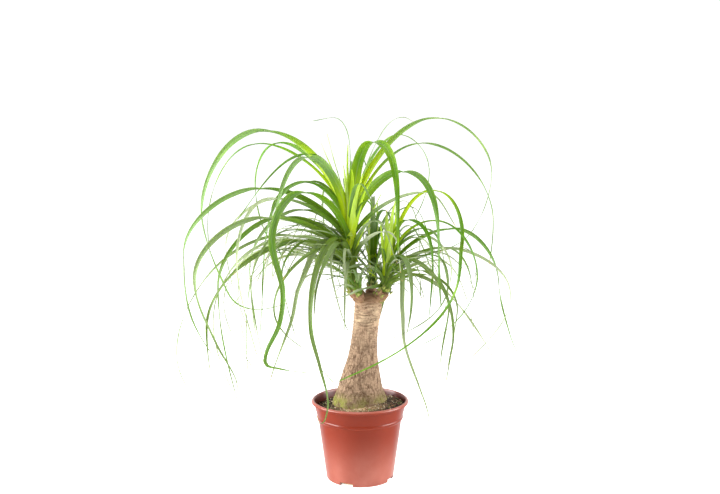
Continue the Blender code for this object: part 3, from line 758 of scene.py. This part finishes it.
# ------------------------------------------------------------------------- leaf rule
# where each head's stem leaves the trunk, where its own piece starts and its top, in mm
HEADS = {
    "a": dict(root=(8, 0, 318), foot=(-12, -4, 345), top=(-21, -2, 446), radii=(12.5, 6)),
    "b": dict(root=(20, -3, 316), foot=(43, -10, 342), top=(57, -8, 404), radii=(12, 6)),
    "c": dict(root=(17, 8, 320), foot=(21, 18, 347), top=(26, 25, 398), radii=(9.5, 5)),
    "d": dict(root=(6, -12, 318), foot=(-2, -25, 340), top=(-6, -31, 360), radii=(7, 4.5)),
}

# azimuth (degrees, 0 = +X, 90 = away from the front), then out and up (mm) of the crest, of
# the farthest reach (0, 0 where the leaf never turns back) and of the tip, the width (mm) and
# how far the azimuth swings on the way to the tip (degrees); an upright leaf has no crest.
# Pairs after that are spots (out, up) that the tail passes before it reaches the tip.
LEAVES = {
    "a": (
        (186, 152, 623, 260, 480, 112, 320, 22, 0, (250, 424), (231, 370), (208, 324), (170, 309)),
        (165, 170, 600, 275, 455, 268, 383, 7, 0),
        (155, 150, 600, 219, 505, 154, 389, 12, 0, (203, 434)),
        (200, 90, 585, 0, 0, 225, 480, 7, 0),
        (192, 160, 525, 292, 410, 244, 223, 12, 0, (284, 304)),
        (212, 175, 480, 297, 385, 233, 186, 13, 0, (265, 280), (233, 212)),
        (232, 115, 580, 0, 0, 216, 445, 17, 0),
        (238, 148, 524, 228, 450, 140, 228, 15, 0, (209, 372), (226, 322), (275, 274), (240, 254)),
        (205, 145, 510, 215, 395, 185, 240, 8, 0),
        (196, 75, 465, 0, 0, 130, 455, 6, 0),
        (178, 115, 440, 315, 225, 285, 140, 8, 0),
        (205, 105, 435, 265, 295, 260, 215, 14, 0),
        (172, 120, 430, 255, 280, 195, 90, 9, 0),
        (150, 165, 405, 290, 290, 215, 165, 9, 0),
        (230, 80, 425, 190, 345, 115, 255, 9, 0),
        (160, 110, 400, 0, 0, 240, 290, 8, 0),
        (226, 60, 436, 0, 0, 178, 205, 14, 0, (122, 366), (139, 304)),
        (235, 45, 440, 131, 300, 123, 143, 14, 0, (110, 226), (86, 162), (94, 131), (112, 126)),
        (240, 52, 434, 0, 0, 128, 315, 13, 0),
        (150, 45, 646, 0, 0, 85, 644, 7, 0),
        (8, 150, 645, 254, 545, 150, 410, 12, 0, (217, 444)),
        (20, 135, 648, 0, 0, 160, 640, 7, 0),
        (350, 125, 602, 245, 475, 233, 388, 7, 0),
        (310, 60, 605, 0, 0, 120, 425, 22, 0),
        (325, 105, 555, 0, 0, 185, 335, 17, 0),
        (335, 140, 520, 0, 0, 195, 465, 8, 0),
        (26, 128, 630, 200, 566, 160, 470, 11, 0, (186, 514)),
        (258, 22, 400, 0, 0, 70, 280, 9, 0),
        (235, 50, 422, 78, 350, 74, 292, 6, 27, (80, 318), (78, 286)),
    ),
    "b": (
        (0, 78, 520, 135, 430, 128, 218, 8, -150, (152, 340), (150, 262), (130, 208), (126, 200)),
        (345, 85, 470, 164, 375, 44, 235, 9, -20, (128, 295)),
        (10, 120, 450, 205, 350, 255, 212, 9, 0, (228, 258)),
        (355, 105, 420, 220, 335, 155, 225, 8, 0),
        (345, 85, 410, 120, 350, 60, 265, 8, -70),
        (340, 40, 375, 0, 0, 205, 215, 9, 0),
        (320, 40, 405, 152, 280, 139, 201, 11, 0),
        (305, 40, 410, 0, 0, 62, 270, 14, 0),
        (300, 40, 395, 0, 0, 124, 128, 11, 0, (61, 312), (64, 262), (103, 190), (130, 144)),
        (330, 40, 470, 0, 0, 90, 300, 9, 0),
        (216, 60, 352, 0, 0, 130, 342, 8, 0),
        (208, 45, 392, 0, 0, 95, 380, 11, 0),
    ),
    "c": (
        (85, 25, 505, 0, 0, 60, 455, 12, 0),
        (60, 30, 495, 0, 0, 65, 430, 12, 0),
        (62, 46, 405, 70, 345, 62, 228, 12, 25),
    ),
    "d": (
        (190, 30, 372, 0, 0, 60, 368, 8, 0),
    ),
}

# sectors the extra leaves of a head are drawn in: azimuth from, to, how many, shortest and
# longest reach of the crest, lowest and highest crest, how far the tip hangs under the crest
# (-1 for the young, upright leaves of the heart, which end at their crest)
EXTRA = {
    "a": (
        (150, 235, 10, 70, 150, 410, 560, 90, 260),
        (60, 140, 9, 60, 150, 420, 600, 40, 130),
        (250, 330, 5, 40, 80, 420, 540, 20, 60),
        (90, 350, 11, 16, 72, 500, 596, -1, -1),
    ),
    "b": (
        (325, 395, 8, 50, 110, 375, 460, 50, 150),
        (40, 110, 5, 50, 110, 380, 460, 30, 90),
        (-90, 110, 9, 6, 34, 450, 532, -1, -1),
        (240, 320, 3, 30, 60, 380, 430, 10, 40),
    ),
    "c": (
        (20, 150, 12, 50, 130, 380, 500, 20, 110),
        (20, 200, 5, 10, 40, 430, 500, -1, -1),
    ),
    "d": (
        (200, 330, 6, 15, 36, 358, 394, 0, 18),
    ),
}
SEED = 41
FREE_BASE = 60             # leaves of one head may touch up to here from their foot (mm)


def run_along(line):
    """How far along a line each of its points lies."""
    return np.concatenate(([0], np.cumsum(norm(np.diff(line, axis=0), axis=1))))


def hermite(a, b, ta, tb, count):
    t = np.linspace(0, 1, count)[:, None]
    return ((2 * t**3 - 3 * t**2 + 1) * a + (t**3 - 2 * t**2 + t) * ta
            + (3 * t**2 - 2 * t**3) * b + (t**3 - t**2) * tb)


def profile(base, crest, far, tip, tail, rises, turns_back):
    """A leaf's line in its own upright plane: up over its crest, out, and down to its tip."""
    if not rises:
        run = tip - base
        early = run * (0.55, 1.15)
        return hermite(base, tip, early, 1.5 * run - 0.5 * early, 30)
    level, down = np.array((1.0, 0.0)), np.array((0.0, -1.0))
    chord = norm(crest - base)
    rise = min(radians(88), max(-0.2, 2 * atan2(*(crest - base)[::-1])))
    line = [hermite(base, crest, np.array((cos(rise), sin(rise))) * chord * 1.15,
                    level * chord * 0.85, 20)]
    turn, at = level, crest
    if turns_back:
        chord = norm(far - crest)
        line.append(hermite(crest, far, level * chord * 1.1, down * chord, 20)[1:])
        turn, at = down, far
    for here, after in zip(tail, tail[1:] + [tip]):
        chord = norm(here - at)
        bend = (after - at) / norm(after - at)
        line.append(hermite(at, here, turn * chord, bend * chord, 12)[1:])
        turn, at = bend, here
    chord, fall = norm(tip - at), tip - at
    if turns_back or tail or crest[1] - tip[1] > 20:
        fall = 1.5 * fall - 0.5 * turn * chord
    line.append(hermite(at, tip, turn * chord, fall, 20)[1:])
    return np.concatenate(line)


def spine(key, row, step=None, swing=0.0, lift=0.0):
    """Points along a leaf (mm) from inside its stem to its tip, and each one's azimuth."""
    azimuth, c_out, c_up, f_out, f_up, t_out, t_up, _, drift, *tail = row
    foot, top = (np.array(HEADS[key][end], float) for end in ("foot", "top"))
    reach = 170 if key == "a" else 110
    share = min(0.97, max(0.16, ((c_up or t_up - 40) + lift - foot[2] - 30) / reach))
    start = foot + (top - foot) * (share + 0.03 * sin(azimuth))
    crest, far, tip, *tail = (np.array(p, float) + (0, lift) for p in (
        (c_out, c_up), (f_out, f_up), (t_out, t_up), *tail))
    flat = profile(np.array((4.0, start[2])), crest, far, tip, tail, c_up, f_out)
    run = run_along(flat)
    count = max(5, round(run[-1] / step) + 1) if step else len(flat)
    part = np.linspace(0, 1, count)
    even = part * run[-1]
    out, up = np.interp(even, run, flat[:, 0]), np.interp(even, run, flat[:, 1])
    draw = random.Random(round(10 * sum(row[:7])))
    wave, sway = draw.uniform(-5, 5), draw.uniform(-6, 6)
    ripple = wave * part ** 2 * np.sin(tau * 1.2 * part)
    out, up = out + ripple * np.gradient(up, even), up - ripple * np.gradient(out, even)
    heading = np.radians(azimuth + swing + drift * part ** 3
                         + sway * part * np.sin(tau * 0.9 * part))
    hold = start[:2] + (foot[:2] - start[:2]) * part[:, None] ** 0.5
    return np.stack((hold[:, 0] + out * np.cos(heading), hold[:, 1] + out * np.sin(heading),
                     up), axis=1), heading


def width_at(share, width):
    """Full width of a blade along its length: clasping foot, widest early, thread-like tip."""
    return width * np.interp(share, (0, 0.05, 0.2, 0.42, 0.64, 0.84, 1),
                             (1.1, 0.85, 1, 0.88, 0.6, 0.34, 0.12))


def extra_rows(key):
    draw = random.Random(SEED + ord(key))
    rows = []
    for first, last, count, near, wide, low, high, hang, drop in EXTRA[key]:
        for i in range(count):
            part = (i * 0.618 + draw.uniform(0, 0.12)) % 1
            level = (i * 0.382 + draw.uniform(0, 0.2)) % 1
            crest = near + (wide - near) * draw.random(), low + (high - low) * level
            fall, blade = draw.uniform(hang, drop), draw.uniform(5, 10)
            azimuth, drift = first + (last - first) * part, draw.uniform(-12, 12)
            if fall < 0:
                rows.append((azimuth, 0, 0, 0, 0, *crest, blade + 5, drift))
                continue
            far = crest[0] * 1.3 + 0.3 * fall, crest[1] - 0.45 * fall
            tip = far[0] - draw.uniform(-10, 0.25 * fall), max(70, crest[1] - 1.25 * fall)
            if tip[0] > far[0] - 12:
                far = 0, 0
            rows.append((azimuth, *crest, *far, *tip, blade, drift))
    return rows


def clear_of_the_rest(points, half, key):
    """True where a leaf keeps off the floor, pot, soil, trunk and the other heads' stems."""
    x, y, z = points.T
    in_pot = (z < POT_HIGH + 7 + half) & (np.hypot(x, y) < LIP_R + 5 + half)
    heights, radii, centres = zip(*SOLID_TRUNK)
    room = np.interp(z, heights, radii) * 1.05 + half + 4
    in_trunk = (z < 336) & (np.hypot(x - np.interp(z, heights, centres), y) < room)
    if (in_pot | in_trunk | (z < 24)).any():
        return False
    along = np.linspace(0, 1, 12)[:, None]
    for other, head in HEADS.items():
        ends = ("root", "foot") if other == key else ("root", "foot", "top")
        for start, end in zip(ends, ends[1:]):
            a, b = np.array(head[start], float), np.array(head[end], float)
            stem, room = a + (b - a) * along, head["radii"][0] + 4
            if end == "foot" and other == key:
                stem, room = stem[:-2], room - 1
            away = norm(points[3:, None] - stem[None], axis=2).min(axis=1)
            if (away < room + half[3:] * 0.9).any():
                return False
    return True


def meetings(key, line, run, half, cloud):
    """How often a leaf meets others of its head past their feet; None if it meets another's."""
    touched = 0
    for other, spots, wide, far in cloud:
        near = norm(line[:, None] - spots[None], axis=2)
        both_wide = half[:, None] + wide[None]
        if other == key:
            free = (run[:, None] > FREE_BASE) & (far[None] > FREE_BASE)
            touched += int((free & (near < both_wide * 0.6 + 1)).sum())
        elif (near < both_wide * 0.95 + 2.4).any():
            return None
    return touched


@functools.cache
def place_leaves():
    """Settle every leaf where it meets nothing, trying small swings and lifts in turn."""
    tries = [(swing, lift) for lift in (0, 8, -8, 16, -16, 26) for swing in
             (0, 3, -3, 6, -6, 10, -10, 15, -15, 21, -21)]
    settled, cloud = {key: [] for key in HEADS}, []
    rows = [(key, row) for key in HEADS for row in LEAVES[key]]
    rows += [(key, row) for key in HEADS for row in extra_rows(key)]
    for key, row in rows:
        best = None
        for swing, lift in tries:
            line, _ = spine(key, row, None, swing, lift)
            run = run_along(line)
            half = width_at(run / run[-1], row[7]) / 2
            if not clear_of_the_rest(line, half, key):
                continue
            touched = meetings(key, line, run, half, cloud)
            if touched is not None and (best is None or touched < best[0]):
                best = touched, (key, line, half, run), (row, swing, lift)
            if touched == 0:
                break
        if best:
            cloud.append(best[1])
            settled[key].append(best[2])
    return settled


# ------------------------------------------------------------------------- leaves
HEAD_PIECES = {
    "a": ("leaves_tall", "head_tall", "leaf_tall"),
    "b": ("leaves_right", "head_right", "leaf_right"),
    "c": ("leaves_back", "head_back", "leaf_back"), "d": ("leaves_low", "head_low", "leaf_low"),
}
AGE_SPAN = {"a": (600, 405), "b": (500, 365), "c": (560, 330), "d": (420, 340)}
# points around a blade: place across it from -1 to 1, inset, and depth in thicknesses
SECTION = [(u, 1, 0) for u in (-1.0, -0.55, 0.0, 0.55, 1.0)] + [
    (u, 0.93, 1.25 - 0.55 * abs(u)) for u in (0.55, 0.0, -0.55)]
BLADE_VALUES = ("age", "along", "across", "tint")


class BladeStock:
    """Gathers the points, faces and values of many blades into one mesh."""

    def __init__(self):
        self.points, self.faces, self.values = [], [], []

    def push(self, spot, *values):
        self.points.append(spot * MM)
        self.values.append(values)

    def add(self, line, heading, width, thick, roll, age, tint, flare, wave=0.0, slim=0.0):
        run, start = run_along(line), len(self.points)
        for i, at in enumerate(line):
            share = run[i] / run[-1]
            along = Vector(line[min(i + 1, len(line) - 1)] - line[max(i - 1, 0)]).normalized()
            side = Vector((sin(heading[i]), -cos(heading[i]), 0))
            side = (side - along * side.dot(along)).normalized()
            up, turn = side.cross(along), roll[i]
            side, up = (side * cos(turn) + up * sin(turn),
                        up * cos(turn) - side * sin(turn))
            half = float(width_at(share, width)) / 2 * (1 - 0.1 * min(1, share * 2))
            half *= 1 - slim * min(1, max(0, (share - 0.3) / 0.2))
            half = max(half, 0.85 * min(1, (1 - share) * 25 + 0.35))
            near = max(0.0, 1 - run[i] / 22)
            half *= 1 + flare * near ** 1.5
            dish = half * (0.42 + 0.4 * near - 0.2 * share)
            body = thick * (1 - 0.45 * share)
            for u, inset, depth in SECTION:
                lift = dish * (abs(u) ** 1.3 - 0.35) + wave * sin(run[i] * 0.09 + u * 2)
                self.push(Vector(at) + side * half * u * inset + up * (lift - body * depth),
                          age, share, u, tint)
        self.faces += tube_faces(len(SECTION), len(line), start, inward=True)

    def piece(self, name, paint, slot, replaces=()):
        new_piece(name, self.points, self.faces, paint, slot, replaces, smooth=64,
                  **dict(zip(BLADE_VALUES, zip(*self.values))))


def leaf_material(name, settings, foot_amount, shift=1.0):
    """Leathery leaf; foot_amount is how pale its foot is and shift how light the rest."""
    made, nodes, shader = fresh_material(name)
    inputs = {key.title(): nodes.attribute(key) for key in BLADE_VALUES}
    for key in ("young", "mature", "old"):
        inputs[key.title()] = tuple(c * shift for c in getattr(settings, key))
    # The pale colour paints the sheen on the leaves' crests and is also the midrib's own paler
    # colour.
    tone = nodes.effect(leaf_effect(), {
        **inputs, "Sheen And Midrib": srgb(186, 192, 164), "Foot": srgb(182, 204, 12),
        # The darkest green is painted shade, for the stems and the darkest fine leaves in the
        # crown.
        "Foot Amount": foot_amount, "Dry": srgb(176, 140, 96), "Crown Shade": srgb(40, 70, 22)})
    nodes.feed(shader, {
        "Base Color": tone["Colour"], "Roughness": 0.32, "Specular IOR Level": 0.13,
        "Subsurface Weight": 0.08, "Subsurface Radius": (1.0, 1.4, 0.3),
        "Subsurface Scale": 0.003, "Normal": nodes.bump(tone["Veins"], 0.22, 0.0003)})
    return made


def leaf_age(key, row):
    """How old a leaf is, 0 for the heart and 1 for the lowest, from how high it arches."""
    newest, oldest = AGE_SPAN[key]
    if not row[2]:
        return 0.08
    return min(1.0, max(0.45, 0.45 + 0.55 * (newest - row[2]) / (newest - oldest)))


def roll_along(row, line):
    """How far a blade is turned about its own line: edge-on over its crest, broad either side."""
    draw = random.Random(round(17 * sum(row[:7])))
    period, most = draw.uniform(0.3, 0.5), draw.uniform(52, 82)
    run = run_along(line)
    part = run / run[-1]
    past = part - part[int(np.argmax(line[:, 2]))]
    face = np.tanh(past / 0.07) * (
        0.55 + 0.45 * np.cos(tau * np.maximum(0, past - 0.16) / period))
    side = -cos(radians(row[0])) * min(1.0, row[5] / 130)
    turn = most * face * side + draw.uniform(-14, 14)
    return np.radians(turn * np.interp(part, (0, 0.07, 1), (0, 1, 1)))


def add_stem(stock, head):
    """The ribbed stem that a head's leaves clasp, closed to a point at its top."""
    foot, steps, count = Vector(head["foot"]), 16, 36
    wide, slim = head["radii"]
    stock.faces += tube_faces(count, steps + 1, len(stock.points))
    for k, i, t, centre, spot in stem_rings(foot, Vector(head["top"]) - foot, steps, count):
        reach = (wide * (1 - t) + slim * t) * (0.9 + 0.08 * sin(k * 2.4))
        reach = 0.6 if k == steps else reach
        rib = sin(i * 2.1 + 1.5 * sin(k * 0.7))
        # An age past 1 gives the stem the painted shade of the crown.
        stock.push(centre + (spot - centre) * reach * (1 + 0.07 * rib),
                   1.15 + 0.25 * rib, 0.02 + 0.1 * t, rib, 0.3)


class PalmMakeHead(Operator):
    """Grow one head of leaves on its stem"""
    bl_idname = "palm.make_head"
    bl_label = "Leaf head"
    key: EnumProperty(
        name="Head", description="Which head of leaves to grow",
        items=[("a", "Tall", "The tall head on the left"), ("b", "Right", "The right head"),
               ("c", "Back", "The head behind"), ("d", "Low", "The low tuft in front")])

    def execute(self, context):
        settings, key = context.scene.palm.leaf, self.key
        name, node, slot = HEAD_PIECES[key]
        draw, stock = random.Random(SEED * 3 + ord(key)), BladeStock()
        for row, swing, lift in place_leaves()[key]:
            line, heading = spine(key, row, settings.step, swing, lift)
            age, crest = leaf_age(key, row), row[2]
            stock.add(line, heading, row[7] * (0.85 if 0 < crest < 450 else 1), settings.thick,
                      roll_along(row, line), age, draw.random() ** 1.5,
                      flare=0.9 if age < 0.4 else 0.6, wave=0.25, slim=0.4 if crest > 610 else 0)
        add_stem(stock, HEADS[key])
        paint = leaf_material(slot, settings, *((0.35, 0.8) if key == "c" else (0.9, 1.0)))
        stock.piece(name, paint, slot, [node])
        return {"FINISHED"}


# rounds of fine leaves: head, how many, lowest and highest start, shortest and longest crest;
# and the sector in front of each head that stays free of them, from and to (degrees)
FINE = (("a", 84, 378, 440, 60, 165), ("b", 28, 366, 400, 60, 165), ("c", 14, 366, 396, 60, 165),
        ("a", 26, 350, 384, 22, 75), ("b", 20, 348, 376, 20, 60))
FREE_SECTOR = {"a": (238, 395), "b": (232, 310), "c": (190, 350)}


class PalmMakeFineLeaves(Operator):
    """Fill the crown with the fine, dark lower leaves that arch out under the heads"""
    bl_idname = "palm.make_fine_leaves"
    bl_label = "Fine leaves"

    def execute(self, context):
        settings = context.scene.palm.leaf
        draw, stock = random.Random(61), BladeStock()
        lowest, highest = np.array(CAD_BOX) * 1000 + [[-1], [1]]
        for key, count, low, high, near, far in FINE:
            first, last = FREE_SECTOR[key]
            if far < 80:
                first, last = first + 20, last - 40
            for i in range(count):
                azimuth = (i * 137.5 + draw.uniform(-20, 20)) % 360
                start = low + (high - low) * draw.random()
                rise, wide = draw.uniform(6, 36), draw.uniform(near, far)
                if first < azimuth < last or azimuth < last - 360:
                    continue
                out = wide * draw.uniform(1.25, 1.8)
                fall = start + rise - draw.uniform(5, 55) * wide / 80
                row = (azimuth, wide, start + rise, 0, 0, out, fall, draw.uniform(2.4, 4.8),
                       draw.uniform(-14, 14))
                line, heading = spine(key, row, settings.step * 0.8)
                line[:, 2] += (start - line[0][2]) * np.linspace(1, 0, len(line)) ** 2 * 0.6
                if ((line <= lowest) | (line >= highest)).any() or not clear_of_the_rest(
                        line, np.full(len(line), 1.0), key):
                    continue
                # Ages past 1 give the darkest fine leaves the painted shade of the crown.
                stock.add(line, heading, row[7], settings.thick * 0.8, roll_along(row, line),
                          draw.uniform(0.7, 1.35), draw.random(), flare=0.4, wave=0.2)
        stock.piece("leaves_fine", leaf_material("leaf_fine", settings, 0.25), "leaf_tall")
        return {"FINISHED"}


def dry_foot_material():
    made, nodes, shader = fresh_material("dry_leaf_foot")
    tone = nodes.mottle(srgb(150, 118, 80), srgb(98, 70, 48), srgb(196, 170, 124), (0.8, 0.4),
                        (160.0, 600.0))
    colour = nodes.mix(nodes.ramp(nodes.attribute("tint"), 0.42, 0.6), tone["Colour"],
                       srgb(138, 146, 66))
    colour = nodes.mix(nodes.times(nodes.ramp(nodes.attribute("along"), 0.5, 1.0), 0.3), colour,
                       srgb(92, 62, 42))
    nodes.feed(shader, {"Base Color": colour, "Roughness": 0.8,
                        "Normal": nodes.bump(tone["Specks"], 0.5, 0.0006)})
    return made


class PalmMakeDryScales(Operator):
    """Dress the trunk's crown with the dry, peeling feet of old leaves"""
    bl_idname = "palm.make_dry_scales"
    bl_label = "Dry leaf feet"

    def execute(self, context):
        draw, stock, around = random.Random(23), BladeStock(), 60
        for (key, head), count in zip(HEADS.items(), (36, 44, 18, 14)):
            root = Vector(head["root"])
            run, wide = Vector(head["foot"]) - root, head["radii"][0] + 0.6
            for i in range(count):
                t = draw.uniform(0.3, 1.2)
                turn = i * 2.4 + draw.uniform(-0.3, 0.3)
                ring = ring_points(root + run * t, run, wide * 0.93, around)
                spot = ring[int(turn / tau * around) % around]
                out = (spot - (root + run * t)).normalized()
                length = draw.uniform(5, 11)
                line = [spot + run.normalized() * length * 0.75 * s
                        + out * (length * 0.14 * s ** 1.8 - 0.5) for s in np.linspace(0, 1, 7)]
                stock.add(np.array([tuple(p) for p in line]), [atan2(out.y, out.x)] * 7,
                          draw.uniform(4, 8), 0.5, [draw.uniform(-0.3, 0.3)] * 7,
                          draw.random(), draw.random() * 0.7 + 0.7 * (t - 0.6)
                          + (0.12 if key == "b" else 0), flare=0.2)
        stock.piece("dry_leaf_feet", dry_foot_material(), "trunk_bark")
        return {"FINISHED"}


# ------------------------------------------------------------------------- stage
# name, place (m) and share of the lamps' power
LAMPS = (("lamp_left", (-1.66, -0.32, 0.8), 2.7), ("lamp_right", (1.66, -0.22, 0.8), 1.9),
         ("lamp_top", (-0.4, -0.3, 2.1), 0.8))
LAMP_SIZE, LAMP_AIM, FLOOR_HALF = 1.4, Vector((0, 0, 0.35)), 14
CAMERA_PLACE, CAMERA_DIP = (0, -1.75, 0.64), 7.2        # m, degrees below level


class PalmMakeStage(Operator):
    """Lay the pale floor, light it softly and set the camera"""
    bl_idname = "palm.make_stage"
    bl_label = "Stage"

    def execute(self, context):
        settings = context.scene.palm.stage
        floor = add_object("floor", simple_mesh(
            "floor", bmesh.ops.create_grid, x_segments=1, y_segments=1,
            size=FLOOR_HALF))
        made, nodes, shader = fresh_material("floor_paper")
        # The floor glows, most round the pot: painted light that lights the pot's foot from below
        # and fills its shadow on the floor.
        near = nodes.add("VectorMath", {0: nodes.place()}, operation="LENGTH").outputs["Value"]
        nodes.feed(shader, {
            "Base Color": tuple(settings.floor), "Roughness": 0.7, "Specular IOR Level": 0.2,
            "Emission Color": (1, 1, 1), "Emission Strength": nodes.ramp(near, 0.08, 0.2, 0.9,
                                                                         0.62)})
        floor.data.materials.append(made)
        floor.visible_glossy = False

        world = context.scene.world = bpy.data.worlds.new("pale_surround")
        world.use_nodes = True
        world.node_tree.nodes.clear()
        nodes = Nodes(world.node_tree)
        across = nodes.split(nodes.add("TexCoord").outputs["Generated"])
        light = nodes.math("MAXIMUM", nodes.ramp(across["Y"], 0.35, 0.8),
                           nodes.ramp(across["Z"], 0.4, 0.95, 0.0, 0.8))
        light = nodes.math("MAXIMUM", light,
                           nodes.ramp(across["Y"], -0.9, -0.1, 0.06, settings.fill))
        shade = nodes.add("Background", {"Color": (1, 1, 1),
                                         "Strength": nodes.times(light, settings.surround)})
        nodes.add("OutputWorld", {"Surface": shade.outputs[0]})

        for name, place, power in LAMPS:
            lamp = bpy.data.lights.new(name, "AREA")
            lamp.energy, lamp.shape, lamp.size = settings.lamps * power, "SQUARE", LAMP_SIZE
            thing = add_object(name, lamp)
            thing.location = place
            thing.rotation_euler = (LAMP_AIM - thing.location).to_track_quat(
                "-Z", "Y").to_euler()

        camera = bpy.data.cameras.new("camera")
        camera.lens, camera.sensor_width, camera.clip_start = 50, 36, 0.05
        thing = context.scene.camera = add_object("camera", camera)
        thing.location = CAMERA_PLACE
        thing.rotation_euler = (radians(90 - CAMERA_DIP), 0, 0)
        context.scene.view_settings.view_transform = "Standard"
        return {"FINISHED"}


class PalmPanel(Panel):
    """Lists the pieces of the potted palm"""
    bl_label = "Potted palm"
    bl_idname = "VIEW3D_PT_potted_palm"
    bl_space_type = "VIEW_3D"
    bl_region_type = "UI"
    bl_category = "Palm"

    def draw(self, context):
        palm = context.scene.palm
        for title, settings, names in (
                ("Pot", palm.pot, ("make_pot",)), ("Soil", palm.soil, ("make_soil",)),
                ("Trunk", palm.trunk, ("make_trunk", "make_dry_scales")),
                ("Leaves", palm.leaf, ("make_head", "make_fine_leaves")),
                ("Stage", palm.stage, ("make_stage",))):
            box = self.layout.box()
            box.label(text=title)
            for name in settings.bl_rna.properties.keys():
                if name not in ("rna_type", "name"):
                    box.prop(settings, name)
            for name in names:
                box.operator("palm." + name)


CLASSES = (
    PalmPotSettings, PalmSoilSettings, PalmTrunkSettings, PalmLeafSettings, PalmStageSettings,
    PalmSettings, PalmMakeStage, PalmMakePot, PalmMakeSoil, PalmMakeTrunk, PalmMakeHead,
    PalmMakeFineLeaves, PalmMakeDryScales, PalmPanel,
)


def register():
    for kind in CLASSES:
        bpy.utils.register_class(kind)
    bpy.types.Scene.palm = PointerProperty(type=PalmSettings)


def unregister():
    del bpy.types.Scene.palm
    for kind in reversed(CLASSES):
        bpy.utils.unregister_class(kind)


def main():
    register()
    bpy.ops.palm.make_stage()
    bpy.ops.palm.make_pot()
    bpy.ops.palm.make_soil()
    bpy.ops.palm.make_trunk()
    for key in HEADS:
        bpy.ops.palm.make_head(key=key)
    bpy.ops.palm.make_fine_leaves()
    bpy.ops.palm.make_dry_scales()


if __name__ == "__main__":
    main()
